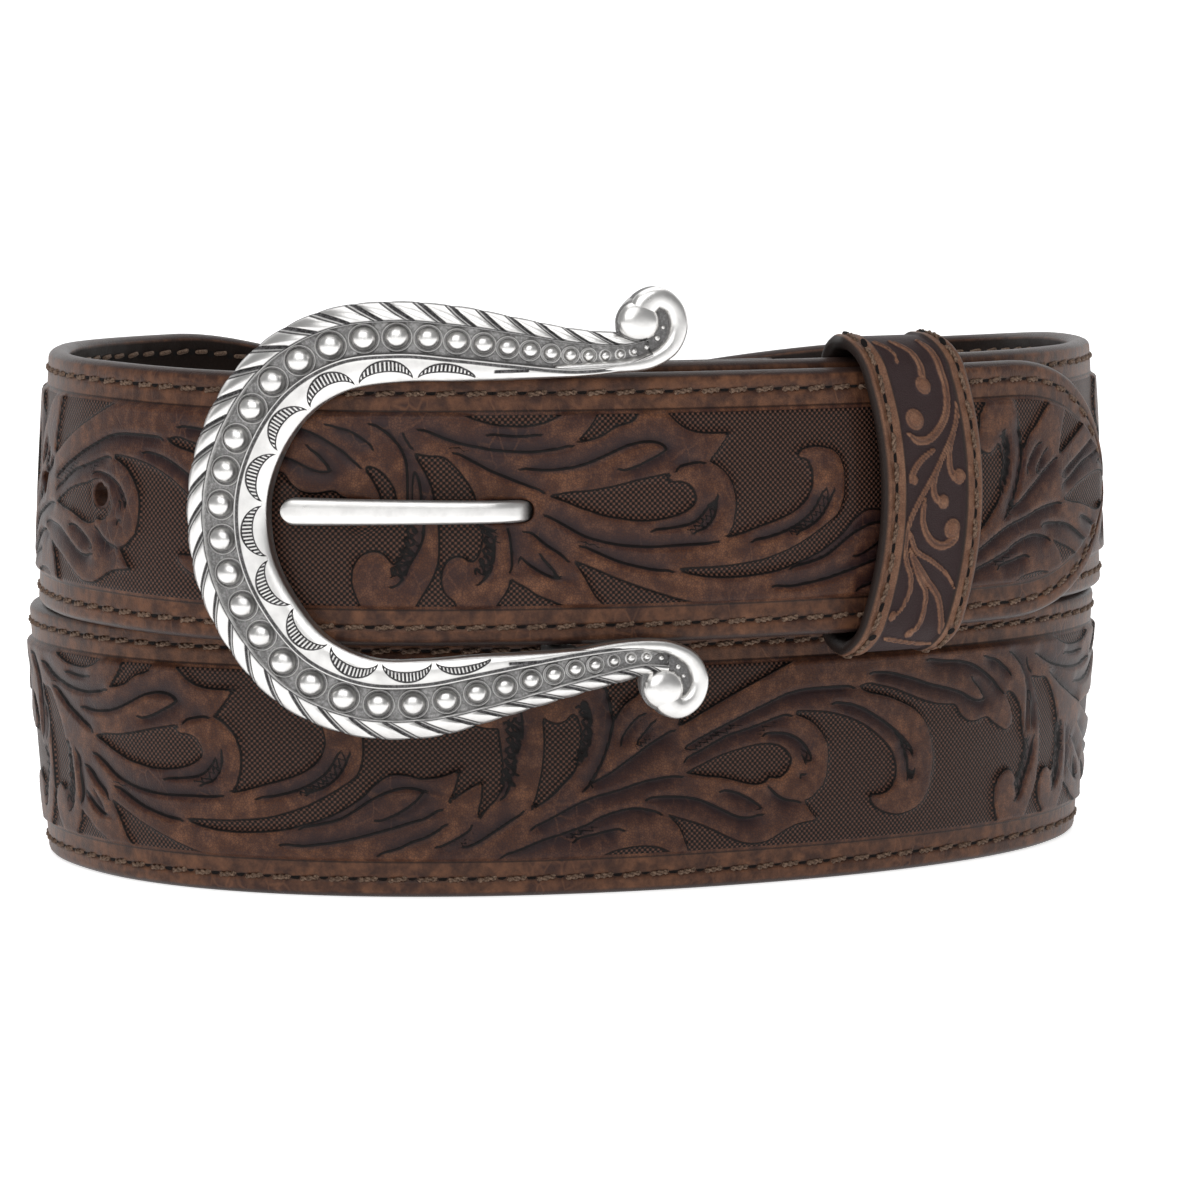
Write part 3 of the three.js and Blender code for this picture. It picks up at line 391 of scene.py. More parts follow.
knifeLines = {
    "upright": [
        [(-35, 258), (0, 266), (80, 276), (150, 278), (205, 270), (245, 256)],
        [(-331, 229), (-267, 256), (-192, 288), (-128, 309), (-53, 325), (21, 339), (128, 347), (200, 347),
         (300, 335), (385, 308)],
        [(110, 412), (180, 425), (260, 430), (330, 425), (400, 412), (470, 388), (540, 358), (610, 328),
         (680, 312), (740, 312), (780, 325), (800, 345), (770, 365), (720, 390), (660, 418), (600, 435),
         (550, 438)],
        [(-176, 331), (-107, 370), (-32, 412), (0, 430), (60, 455), (130, 485), (190, 508), (262, 530)],
        [(815, 452), (860, 425), (930, 410), (1000, 402)],
        [(215, 612), (280, 650), (350, 690), (400, 720), (450, 740), (560, 768), (700, 783), (860, 780),
         (1000, 775), (1065, 752)],
        [(380, 755), (460, 795), (560, 840), (640, 865), (760, 890), (850, 890)],
        [(130, 675), (190, 715), (240, 760), (300, 800), (345, 832), (370, 838)],
        [(700, 705), (760, 705), (820, 700), (892, 690), (942, 670), (982, 630), (1007, 590), (1017, 550)],
        [(900, 725), (982, 705), (1022, 660), (1037, 610), (1032, 560), (1022, 540)],
        [(1182, 770), (1282, 760), (1392, 730), (1472, 690), (1532, 640), (1572, 575), (1595, 520)],
        [(1412, 750), (1512, 715), (1572, 670), (1612, 610), (1628, 560), (1624, 530)],
        [(1292, 972), (1400, 985), (1500, 975), (1600, 958), (1680, 938), (1750, 918), (1830, 894),
         (1907, 869), (1968, 850), (2026, 811), (2061, 790)],
        [(1379, 904), (1510, 880), (1590, 856), (1651, 820), (1710, 779), (1770, 744), (1850, 715), (1907, 712),
         (1962, 725), (1955, 735), (1926, 770), (1875, 810), (1800, 850), (1722, 875)],
        [(1731, 1021), (1846, 990), (1907, 960), (1968, 939), (2026, 904), (2061, 869), (2080, 859)],
        [(2195, 869), (2157, 910), (2096, 949), (2026, 984), (1997, 1000)],
        [(62, 600), (78, 680), (90, 755), (96, 850), (88, 912)],
        [(-80, 930), (-48, 930), (-11, 901), (13, 843), (19, 768), (9, 704), (0, 640), (-15, 590)],
        [(-453, 933), (-430, 944), (-403, 939), (-375, 907), (-350, 850), (-315, 789), (-293, 736), (-288, 683),
         (-292, 620)],
        [(-544, 203), (-480, 240), (-427, 283), (-389, 331), (-368, 384), (-361, 448), (-360, 544), (-357, 640)],
        [(-341, 400), (-318, 450), (-305, 500), (-300, 560), (-300, 640)],
        [(-325, 352), (-341, 340), (-360, 300), (-400, 250)],
        [(118, 790), (160, 842), (215, 882), (265, 908), (300, 918), (285, 885), (255, 850), (225, 820),
         (195, 798)],
    ],
    "turned": [
        [(-311, 815), (-356, 840), (-416, 880), (-476, 920), (-556, 970), (-636, 995)],
        [(-351, 330), (-341, 440), (-346, 500), (-366, 560), (-374, 620), (-391, 680), (-416, 740), (-446, 790)],
        [(30, 240), (45, 285), (62, 360), (75, 420), (60, 500), (30, 590), (0, 650), (-56, 735), (-76, 760)],
        [(-60, 300), (-46, 330), (-28, 400), (-24, 460), (-41, 530), (-66, 590), (-96, 640)],
        [(-466, 1035), (-356, 1000), (-256, 960), (-156, 930), (-36, 890), (0, 868), (100, 836), (200, 828),
         (330, 860)],
        [(-331, 910), (-256, 880), (-176, 840), (-96, 800), (-16, 768), (100, 740), (200, 710), (300, 692),
         (400, 685), (425, 675)],
        [(-56, 735), (-26, 705), (60, 660), (120, 620), (180, 580), (240, 540), (310, 500), (385, 455)],
        [(390, 570), (500, 515), (640, 455), (760, 405), (830, 378), (896, 352), (956, 332), (1026, 320),
         (1096, 315), (1196, 313), (1276, 315), (1336, 322)],
        [(390, 630), (440, 600), (500, 575), (560, 545), (640, 510), (700, 495), (760, 480), (830, 460),
         (896, 440), (946, 430), (990, 430)],
        [(790, 520), (840, 512), (896, 512), (956, 522), (1006, 545), (1046, 580), (1071, 620), (1076, 650),
         (1068, 685)],
        [(1026, 600), (1041, 640), (1058, 680)],
        [(1005, 755), (1015, 718), (1062, 700)],
        [(838, 735), (862, 772), (900, 806), (950, 830), (996, 836), (1041, 838)],
        [(1166, 385), (1226, 390), (1296, 400), (1356, 420), (1416, 450), (1476, 485), (1536, 525), (1596, 570),
         (1636, 610), (1661, 645), (1664, 690)],
        [(1546, 535), (1586, 580), (1616, 640), (1634, 700), (1640, 760), (1632, 805)],
        [(1681, 700), (1674, 760), (1640, 802)],
        [(1376, 255), (1456, 260), (1536, 268), (1596, 285), (1656, 300), (1716, 320), (1776, 338),
         (1836, 352), (1910, 370), (1979, 392), (2038, 421), (2091, 437), (2143, 435), (2113, 395),
         (2070, 352), (2011, 315)],
        [(1716, 208), (1796, 222), (1880, 232), (1965, 240), (2049, 262), (2123, 299), (2198, 347),
         (2251, 395), (2299, 420)],
        [(2102, 208), (2155, 235), (2219, 251), (2283, 288), (2337, 331), (2347, 347)],
        [(92, 550), (125, 485), (175, 422), (240, 372)],
        [(162, 548), (205, 500), (245, 455), (280, 400)],
        [(-136, 972), (-76, 952), (-16, 940), (50, 926), (100, 918), (150, 922)],
        [(205, 785), (300, 778), (400, 784), (480, 798), (550, 826), (610, 855), (660, 880), (710, 897),
         (765, 898), (838, 874)],
        [(570, 760), (640, 768), (700, 786), (755, 815), (800, 846), (838, 870)],
    ],
}
# crossed cuts on the inner side of the fill stems: middle line and half its width, in chart units
crossedBands = {
    "upright": [([(-340, 650), (-345, 720), (-365, 790), (-400, 860), (-425, 905)], 26),
                ([(-35, 600), (-12, 680), (-5, 760), (-22, 830), (-50, 895)], 26)],
    "turned": [([(-400, 400), (-386, 480), (-394, 560), (-402, 640), (-418, 700)], 30),
               ([(-85, 330), (-52, 400), (-46, 470), (-58, 540), (-90, 610)], 24)],
}


def chartPoints(sheet, points):
    points = np.array(points, float) / tooling["unitsPerMm"]
    return np.stack([points[:, 0] + tooling["sheetStart"][sheet], halfWidth - points[:, 1]], -1)


def smoothRun(points, closed, pitch=.25):
    # a centripetal-like rounded run through the points, resampled evenly
    points = np.asarray(points, float)
    count = len(points)
    padded = (np.concatenate([points[-1:], points, points[:2]]) if closed
              else np.concatenate([2 * points[:1] - points[1:2], points, 2 * points[-1:] - points[-2:-1]]))
    t = np.linspace(0, 1, 9)[:-1, None]
    runs = []
    for k in range(count if closed else count - 1):
        a, b, c, d = padded[k], padded[k + 1], padded[k + 2], padded[k + 3]
        turn = np.dot(unit(b - a + 1e-9), unit(c - b + 1e-9))
        turnNext = np.dot(unit(c - b + 1e-9), unit(d - c + 1e-9))
        leave = (c - a) / 2 * (1 if turn > .35 else 0)
        arrive = (d - b) / 2 * (1 if turnNext > .35 else 0)
        span = np.linalg.norm(c - b)
        leave = leave * min(1, span / (np.linalg.norm(leave) + 1e-9))
        arrive = arrive * min(1, span / (np.linalg.norm(arrive) + 1e-9))
        if turn <= .35:
            leave = (c - b) * .6
        if turnNext <= .35:
            arrive = (c - b) * .6
        runs.append((2 * t ** 3 - 3 * t ** 2 + 1) * b + (t ** 3 - 2 * t ** 2 + t) * leave
                    + (3 * t ** 2 - 2 * t ** 3) * c + (t ** 3 - t ** 2) * arrive)
    run = np.concatenate(runs + [points[:1] if closed else points[-1:]])
    walked = np.concatenate([[0], np.cumsum(np.linalg.norm(np.diff(run, axis=0), axis=1))])
    even = np.linspace(0, walked[-1], max(int(walked[-1] / pitch), 3) + 1)
    return np.stack([np.interp(even, walked, run[:, k]) for k in (0, 1)], -1)


def runDistance(x, y, run):
    # distance to a run, the side it is on (left of the way along is positive) and the share of its length
    best = np.full(x.shape, 1e9)
    side = np.zeros(x.shape)
    share = np.zeros(x.shape)
    total = len(run) - 1
    for k in range(total):
        (ax, ay), (bx, by) = run[k], run[k + 1]
        dx, dy = bx - ax, by - ay
        t = np.clip(((x - ax) * dx + (y - ay) * dy) / (dx * dx + dy * dy + 1e-12), 0, 1)
        ex, ey = x - ax - t * dx, y - ay - t * dy
        d = np.hypot(ex, ey)
        nearer = d < best
        best = np.where(nearer, d, best)
        side = np.where(nearer, np.sign(dx * ey - dy * ex), side)
        share = np.where(nearer, (k + t) / total, share)
    return best, side, share


def insideRun(x, y, run):
    inside = np.zeros(x.shape, bool)
    for k in range(len(run) - 1):
        (ax, ay), (bx, by) = run[k], run[k + 1]
        if ay == by:
            continue
        crosses = ((ay > y) != (by > y)) & (x < (bx - ax) * (y - ay) / (by - ay) + ax)
        inside ^= crosses
    return inside


class ToolingMap:
    # the chart as fields on a fine flat grid: cut (signed and plain distance), ground and relief
    def __init__(self, x0, x1, y0, y1, pitch, repeat=None):
        self.x0, self.y0, self.pitch, self.repeat = x0, y0, pitch, repeat
        self.columns = int(round((x1 - x0) / pitch)) + 1
        self.rows = int(round((y1 - y0) / pitch)) + 1
        self.x, self.y = np.meshgrid(x0 + np.arange(self.columns) * pitch, y0 + np.arange(self.rows) * pitch)
        self.cutNear = np.full(self.x.shape, 3.)
        self.cutSigned = np.full(self.x.shape, 3.)
        self.ground = np.full(self.x.shape, -3.)
        self.bevel = np.zeros(self.x.shape)

    def windows(self, run, reach):
        # the parts of the grid that lie near a run, wrapped by the repeat
        for turns in ((-1, 0, 1) if self.repeat else (0,)):
            moved = run + np.array([turns * (self.repeat or 0), 0])
            low, high = moved.min(0) - reach, moved.max(0) + reach
            c0 = max(int((low[0] - self.x0) / self.pitch), 0)
            c1 = min(int((high[0] - self.x0) / self.pitch) + 2, self.columns)
            r0 = max(int((low[1] - self.y0) / self.pitch), 0)
            r1 = min(int((high[1] - self.y0) / self.pitch) + 2, self.rows)
            if c1 > c0 and r1 > r0:
                yield moved, (slice(r0, r1), slice(c0, c1))

    def addPatch(self, run):
        for moved, window in self.windows(run, 2.):
            x, y = self.x[window], self.y[window]
            d, _, _ = runDistance(x, y, moved)
            signed = np.where(insideRun(x, y, moved), d, -d)
            self.ground[window] = np.maximum(self.ground[window], np.clip(signed, -3, 3))

    def addCut(self, run, bevelSide, bevelWidth=None, taper=1.6):
        length = np.linalg.norm(np.diff(run, axis=0), axis=1).sum()
        bevelWidth = bevelWidth or tooling["bevelWidth"]
        for moved, window in self.windows(run, 3.):
            x, y = self.x[window], self.y[window]
            d, side, share = runDistance(x, y, moved)
            thin = 1 - smoothstep(0, taper, np.minimum(share, 1 - share) * length)
            near = d + thin * .5
            closer = near < self.cutNear[window]
            self.cutNear[window] = np.where(closer, near, self.cutNear[window])
            self.cutSigned[window] = np.where(closer, d * side + thin * .5, self.cutSigned[window])
            ends = smoothstep(0, 3, np.minimum(share, 1 - share) * length)
            steep = np.exp(-(d / min(.25, bevelWidth)) ** 2) * .6
            lowered = np.where(side * bevelSide > 0, np.exp(-(d / bevelWidth) ** 1.5), steep)
            self.bevel[window] = np.maximum(self.bevel[window], lowered * ends)

    def at(self, x, y):
        # smooth reading of every field at flat places
        if self.repeat:
            x = self.x0 + np.mod(x - self.x0, self.repeat)
        c = np.clip((x - self.x0) / self.pitch, 0, self.columns - 1.001)
        r = np.clip((y - self.y0) / self.pitch, 0, self.rows - 1.001)
        c0, r0 = c.astype(int), r.astype(int)
        fc, fr = c - c0, r - r0
        found = {}
        for name in ("cutNear", "cutSigned", "ground", "bevel"):
            field = getattr(self, name)
            found[name] = ((field[r0, c0] * (1 - fc) + field[r0, c0 + 1] * fc) * (1 - fr)
                           + (field[r0 + 1, c0] * (1 - fc) + field[r0 + 1, c0 + 1] * fc) * fr)
        nearest = self.cutSigned[np.round(r).astype(int), np.round(c).astype(int)]
        found["cutSigned"] = np.where(np.abs(nearest) > .9, nearest, found["cutSigned"])
        return found

    def relief(self, found):
        sunk = smoothstep(-.05, .3, found["ground"])
        shoulder = np.exp(-np.clip(-found["ground"], 0, 3) / .55) * .35
        cut = np.exp(-(found["cutNear"] / .28) ** 2)
        raised = -tooling["bevelDepth"] * found["bevel"] - .16 * shoulder - tooling["cutDepth"] * cut
        return np.where(sunk > 0, -tooling["groundDepth"] * sunk + raised * (1 - sunk), raised)


strapMap = ToolingMap(-27.5, -27.5 + tooling["repeat"], -14.6, 14.6, .18, tooling["repeat"])
for sheet, bevelSide in (("upright", 1), ("turned", -1)):
    for points in patches[sheet]:
        strapMap.addPatch(smoothRun(chartPoints(sheet, points), True))
    for points in knifeLines[sheet]:
        strapMap.addCut(smoothRun(chartPoints(sheet, points), False), bevelSide)
    for points, half in crossedBands[sheet]:
        middle = smoothRun(chartPoints(sheet, points), False, .5)
        ahead = unit(np.gradient(middle, axis=0))
        across = np.stack([-ahead[:, 1], ahead[:, 0]], -1)
        half = half / tooling["unitsPerMm"]
        wave = np.abs((np.arange(len(middle)) * .5 / 1.5) % 2 - 1) * 2 - 1
        strapMap.addCut(middle + across * (wave * half)[:, None], 1, .12, .3)
        strapMap.addCut(middle - across * (wave * half)[:, None], 1, .12, .3)
print("tooling chart drawn")


# Leather

leather = {
    "raised": (.058, .0205, .0095),
    "worn": (.215, .093, .046),
    # bevelled: a dark purple brown, also used as painted shade on the bevelled slopes beside the cuts
    "bevelled": (.0165, .0085, .0112),
    "groundHigh": (.098, .0440, .0290),
    "groundLow": (.0012, .0007, .0006),
    # cut: also used as painted shade right beside each cut
    "cut": (.0010, .0005, .0005),
    "border": (.039, .0172, .0115),
    "edge": (.036, .026, .0215),
    "flesh": (.020, .0105, .0070),
    "roughness": .50,
}


def leatherFinish(name, tones, checkPitch, fleshy=True):
    # reads the chart fields carried by the mesh: along, across, cut, ground, bevel and edge
    made = Finish(name)
    along, across = made.value("along"), made.value("across")
    signed, near, ground = made.value("cutSigned"), made.value("cutNear"), made.value("ground")
    bevel, edgeIn, flesh = made.value("bevel"), made.value("edgeIn"), made.value("flesh")
    away = made.math("ABSOLUTE", signed)
    line = made.step(.24, .08, away) * made.step(.75, .55, near)
    rim = made.step(.22, .04, made.math("ABSOLUTE", ground))
    cut = made.math("MAXIMUM", line, rim)
    sunk = made.step(-.05, .1, ground)
    warp = made.noise(1.6, 2.) * .5
    checks = (made.math("COSINE", (along + warp * .35) * (2 * math.pi / checkPitch))
              * made.math("COSINE", (across + warp * .3) * (2 * math.pi / checkPitch)))
    checks = made.step(-.45, .8, checks)
    fine = made.noise(.28, 3., .6)
    broad = made.noise(9., 3., .6)
    patchy = made.noise(2.6, 4., .65)
    grain = made.cells(.42)
    creaseCells = made.cells(2.3, place=made.node("ShaderNodeMapping", {}, {
        "Vector": made.place(), "Scale": (1., 1., .62)}))
    crease = made.step(.09, .0, creaseCells) * made.step(.48, .68, broad)
    pore = made.step(.16, .02, grain)

    tone = made.blend(made.step(.38, .74, patchy) * .62, tones["raised"], tones["worn"])
    tone = made.blend(made.step(.42, .7, broad) * .5, tone, tones["bevelled"], "MIX")
    # painted shade: the bevelled slope beside each cut is darkened towards the bevelled tone
    tone = made.blend(bevel ** .6 * made.step(.0, .5, 1 - sunk) * .88, tone, tones["bevelled"])
    # painted shade: darkest right next to the cut, at the foot of the valley
    tone = made.blend(bevel ** 3 * (1 - sunk) * .6, tone, tones["cut"])
    tone = made.blend(crease * .2, tone, tones["worn"])
    tone = made.blend(pore * .5, tone, tones["bevelled"])
    mat = made.blend(checks, tones["groundLow"], tones["groundHigh"])
    tone = made.blend(sunk, tone, mat)
    tone = made.blend(cut * .94, tone, tones["cut"])
    # the border, darker by its step and lighter on its outer shoulder
    inBorder = made.step(5.45, 5.1, edgeIn)
    borderTone = made.blend(made.step(.3, .75, patchy) * .6, tones["border"], tones["worn"])
    borderTone = made.blend(made.step(.42, .7, broad) * .35, borderTone, tones["bevelled"])
    borderTone = made.blend(crease * .3, borderTone, tones["worn"])
    stepLine = made.step(.34, .08, made.math("ABSOLUTE", edgeIn - 5.25))
    borderTone = made.blend(stepLine * .8, borderTone, tones["cut"])
    seam = made.step(.55, .15, made.math("ABSOLUTE", edgeIn - 2.7))
    borderTone = made.blend(seam * .45, borderTone, tones["cut"])
    tone = made.blend(inBorder, tone, borderTone)
    burnished = made.step(.95, .45, edgeIn)
    edgeTone = made.blend(fine, tones["edge"], tones["bevelled"])
    tone = made.blend(burnished * .85, tone, edgeTone)
    suede = made.noise(.5, 5., .7)
    fleshTone = made.blend(suede, tones["flesh"], tones["cut"])
    tone = made.blend(flesh, tone, fleshTone)

    height = (checks * sunk * .75 + (1 - cut) * 1.1 - pore * .10 * (1 - sunk) + fine * .16
              - crease * .22 - stepLine * .3 + suede * flesh * .5)
    rough = tones["roughness"] + patchy * .16 - burnished * .06 + sunk * .08 + cut * .12 + flesh * .3 - .08
    normal = made.bump(height, .17, 1.)
    made.set(Base_Color=tone, Roughness=rough, Normal=normal, Specular_IOR_Level=.12)
    made.set(Coat_Weight=.15, Coat_Roughness=.27)
    return made.material


strapFinish = leatherFinish("tooledStrapLeather", leather, tooling["checkPitch"])

strapShape = {
    "alongPitch": .6,
    "fieldColumns": 60,
    "seamIn": 2.7,        # stitch row from the edge
    "seamDepth": .22,
    "crown": .25,         # the padded field swells towards its middle
    "stitchPitch": 4.0,
    "pieceEnds": (345, 700),
}
holes = [{"s": -6.8 - 2.1, "half": 2.1, "radius": 1.66}]
holes += [{"s": -6.8 - 22 * k, "half": 0, "radius": 1.72} for k in range(1, 5)]


def chartAlong(along):
    # the chart runs true on both front stretches and is eased where the coil hides it
    low = along - 409.3
    high = along - 950 + 3 * tooling["repeat"]
    return np.where(along < 571, low, np.where(along > 835, high, low + (high - low) * (along - 571) / 264))


def strapColumns():
    # inset from the nearer edge (border columns) or share across the field, going round the section
    turn = np.radians(np.linspace(-90, 90, 9))
    edge = [(1.15 * (1 - math.cos(a)), 1.6 * math.sin(a)) for a in turn]
    border = [1.5, 1.9, 2.2, 2.4, 2.55, 2.7, 2.85, 3.0, 3.2, 3.6, 4.1, 4.6, 4.95, 5.15, 5.3, 5.5, 5.75]
    return edge, border


edgeColumns, borderColumns = strapColumns()
fieldShares = np.linspace(-1, 1, strapShape["fieldColumns"])
# the flesh side: wide columns outside, and the field's own lines where the holes go through
backOuter = np.linspace(1, .235, 7)[1:]
pierced = np.flatnonzero(np.abs(fieldShares) < .3)
firstField = len(edgeColumns) + len(borderColumns)
firstBack = 2 * firstField + len(fieldShares) + len(backOuter)


def strapRows(along, half, point, across, face, chartX, pad):
    # one ring of the section for each row; every array is rows by columns
    rows = len(along)
    inset, out = [], []
    for e, n in edgeColumns:
        inset.append(e)
        out.append(n)
    for e in borderColumns:
        inset.append(e)
        out.append(belt["border"])
    lowCount = len(inset)
    half = half[:, None]
    squeeze = np.minimum(1, half / 6.2)
    lowW = -half + np.array(inset)[None] * squeeze
    lowN = np.broadcast_to(np.array(out)[None], lowW.shape)
    fieldHalf = half - 6.0 * squeeze
    fieldW = fieldHalf * fieldShares[None]
    highW, highN = -lowW[:, ::-1], lowN[:, ::-1]
    backHalf = half - 1.15 * squeeze
    outerW = backHalf * backOuter[None]
    backW = np.concatenate([outerW, fieldHalf * fieldShares[pierced][None, ::-1], -outerW[:, ::-1]], 1)
    w = np.concatenate([lowW, fieldW, highW, backW], 1)
    edgeIn = np.minimum(half - np.abs(w), 19.)
    flesh = np.concatenate([np.zeros((rows, lowW.shape[1] * 2 + fieldW.shape[1])), np.ones((rows, backW.shape[1]))], 1)
    flesh[:, 0] = flesh[:, 2 * lowCount + fieldW.shape[1] - 1] = 1
    n = np.concatenate([lowN, np.full(fieldW.shape, belt["border"]), highN, np.full(backW.shape, -belt["back"])], 1)
    x = np.broadcast_to(chartX[:, None], w.shape)
    found = strapMap.at(x, np.clip(w, -14.4, 14.4))
    onFace = flesh < .5
    raised = smoothstep(5.15, 5.95, edgeIn) * onFace
    crown = strapShape["crown"] * np.clip(1 - (w / halfWidth) ** 2, 0, 1)
    n = n + raised * (belt["padding"] * pad[:, None] + (crown + strapMap.relief(found)) * np.minimum(pad[:, None], 1))
    seam = np.exp(-((edgeIn - strapShape["seamIn"]) / .32) ** 2) * onFace * (edgeIn > 1.2)
    n = n - strapShape["seamDepth"] * seam
    wobble = .12 * np.sin(along[:, None] * .9 + w * 1.3) * np.sin(along[:, None] * .37 - w * .6)
    n = n + np.where(onFace, 0, wobble * .5)
    places = point[:, None] + across[:, None] * w[..., None] + face[:, None] * n[..., None]
    fields = dict(found, along=x, across=w, edgeIn=np.where(onFace, edgeIn, 9.), flesh=flesh)
    fields["ground"] = np.where(raised > .5, found["ground"], -3)
    fields["bevel"] = found["bevel"] * raised
    fields["cutNear"] = np.where(raised > .3, found["cutNear"], 3)
    return places, fields, w


def foldRows():
    # the folded end lies back inside the strap and turns round the bar
    back = np.arange(34, 0, -1.)
    along = back
    point, across, face = strandFrame(along)
    out = unit(face * np.array([1, 1, 0]))
    closing = np.clip(back / 15, 0, 1)
    depth = 7 + (3.5 - 7) * closing ** 2 * (3 - 2 * closing)
    point = point - out * depth[:, None]
    up = np.broadcast_to(np.array([0, 0, 1.]), point.shape)
    start, _, faceStart = strandFrame(np.array([0.]))
    outStart = unit(faceStart * np.array([1, 1, 0]))[0]
    back2 = np.cross(outStart, [0, 0, 1])
    ahead = strandFrame(np.array([5.]))[0][0] - start[0]
    if back2 @ ahead > 0:
        back2 = -back2
    angles = np.pi * np.arange(1, 14) / 14
    outward = outStart[None] * -np.cos(angles)[:, None] + back2[None] * np.sin(angles)[:, None]
    bend = start[0] - outStart * foldRadius + outward * foldRadius
    return (np.concatenate([-back, -.01 * np.arange(13)[::-1]]),
            np.concatenate([point, bend]), np.concatenate([up, np.broadcast_to([0, 0, 1.], bend.shape)]),
            np.concatenate([-out, outward]), np.concatenate([-409.3 - 11 - back, -409.3 - 11 + 11 * angles / np.pi]))


def punch(places, w, along, keep, columns):
    # opens the holes: faces inside one go, and the corners round it move out to its edge
    for hole in holes:
        dx = along[:, None] - coilLength - hole["s"]
        dx = dx - np.clip(dx, -hole["half"], hole["half"])
        r = np.hypot(dx, w)
        reach = hole["radius"] * 2.1
        rows = np.where((np.abs(dx[:, 0]) < reach))[0]
        if not len(rows):
            continue
        inner = .75
        near = (r < reach) & (r > 1e-6)
        opened = hole["radius"] + (reach - hole["radius"]) * (r - inner) / (reach - inner)
        gone = r < inner
        edge = np.zeros_like(gone)
        for down in (-1, 0, 1):
            for right in (-1, 0, 1):
                edge |= np.roll(gone, (down, right), (0, 1))
        wanted = np.where(edge, hole["radius"], opened)
        shift = np.where(near, wanted - r, 0) / np.maximum(r, 1e-6)
        keep &= ~gone
        yield rows, shift * dx, shift * w, r


def holeWalls(points, quads, values, count, columnCount):
    # joins each hole's edge in front to the same places on the flesh side
    sides = np.concatenate([quads[:, [k, (k + 1) % 4]] for k in range(4)])
    forward = sides[:, 0] * len(points) + sides[:, 1]
    backward = sides[:, 1] * len(points) + sides[:, 0]
    free = sides[~np.isin(forward, backward)]
    column, row = free % columnCount, free // columnCount
    inField = (column >= firstField) & (column < firstField + len(fieldShares))
    first, second = free[(inField & (row > 0) & (row < count - 1)).all(1)].T
    rim = np.unique(first)
    behind = rim - rim % columnCount + firstBack + pierced[-1] - (rim % columnCount - firstField)
    layers = [rim]
    for depth in (.07, .93):
        layers.append(len(points) + np.arange(len(rim)))
        points = np.concatenate([points, points[rim] * (1 - depth) + points[behind] * depth])
        raw = {"flesh": .3, "ground": -3, "cutNear": 3, "cutSigned": 3, "bevel": 0, "edgeIn": 9}
        values = {key: np.concatenate([value, np.full(len(rim), raw[key]) if key in raw else value[rim]])
                  for key, value in values.items()}
    layers.append(behind)
    a, b = np.searchsorted(rim, first), np.searchsorted(rim, second)
    walls = [np.stack([near[b], near[a], far[a], far[b]], -1) for near, far in zip(layers, layers[1:])]
    return points, np.concatenate([quads, *walls]), values


def buildStrap():
    stations = np.arange(0, strapEnd - belt["tipLength"], strapShape["alongPitch"])
    tip = strapEnd - belt["tipLength"] * (1 - np.linspace(0, 1, 90) ** .8)
    along = np.concatenate([stations, tip])
    point, across, face = strandFrame(along)
    half = halfNearTip(along)
    pad = smoothstep(5.2, 9.2, half)
    places, fields, w = strapRows(along, half, point, across, face, chartAlong(along), pad)
    foldAlong, foldPoint, foldUp, foldFace, foldChart = foldRows()
    ones = np.ones(len(foldPoint))
    foldPlaces, foldFields, foldW = strapRows(foldAlong, ones * halfWidth, foldPoint, foldUp, foldFace, foldChart, ones)
    places = np.concatenate([foldPlaces, places])
    w = np.concatenate([foldW, w])
    fields = {key: np.concatenate([foldFields[key], value]) for key, value in fields.items()}
    along = np.concatenate([foldAlong, along])
    allAcross = np.concatenate([foldUp, across])
    ahead = unit(np.gradient(places[:, 40], axis=0))
    keep = np.ones(w.shape, bool)
    for rows, moveAlong, moveAcross, r in punch(places, w, along, keep, None):
        places[rows] += (ahead[rows][:, None] * moveAlong[rows][..., None]
                         + allAcross[rows][:, None] * moveAcross[rows][..., None])
        soften = smoothstep(1.2, 2.2, r[rows])
        fields["cutNear"][rows] = np.where(soften < .5, 3, fields["cutNear"][rows])
        fields["ground"][rows] = np.where(soften < .3, -3, fields["ground"][rows])
    rowCount, columnCount = w.shape
    joins = [int(np.searchsorted(along, end)) for end in strapShape["pieceEnds"]]
    made = []
    for name, first, last in (("strap_leather_under", 0, joins[0] + 1), ("strap_leather_between", joins[0], joins[1] + 1),
                              ("strap_leather_over", joins[1], rowCount)):
        count = last - first
        quads = gridQuads(count, columnCount, wrapColumns=True)
        held = keep[first:last].ravel()[quads].all(1)
        quads = quads[held]
        points = places[first:last].reshape(-1, 3)
        values = {key: value[first:last].reshape(-1) for key, value in fields.items()}
        points, quads, values = holeWalls(points, quads, values, count, columnCount)
        for end, ring in ((0, np.arange(columnCount)), (count - 1, (count - 1) * columnCount + np.arange(columnCount))):
            if (first + end) in (0, rowCount - 1):
                centre = points[ring].mean(0)
                points = np.concatenate([points, centre[None]])
                values = {key: np.append(value, value[ring[0]]) for key, value in values.items()}
                quads = np.concatenate([quads, capFan(ring if end else ring[::-1], len(points) - 1)])
        made.append(makeMesh(name, points, quads[:, ::-1], values, strapFinish, "tooled_leather"))
    return made


strapPieces = buildStrap()
for piece in strapPieces:
    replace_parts(piece, "strap")
print("strap built", [len(piece.data.polygons) for piece in strapPieces])


# Silver

silver = {
    "bright": (.80, .79, .775),
    "worn": (.60, .59, .58),
    "dark": (.016, .015, .0155),
    "grey": (.125, .12, .125),
    "roughness": .24,
}


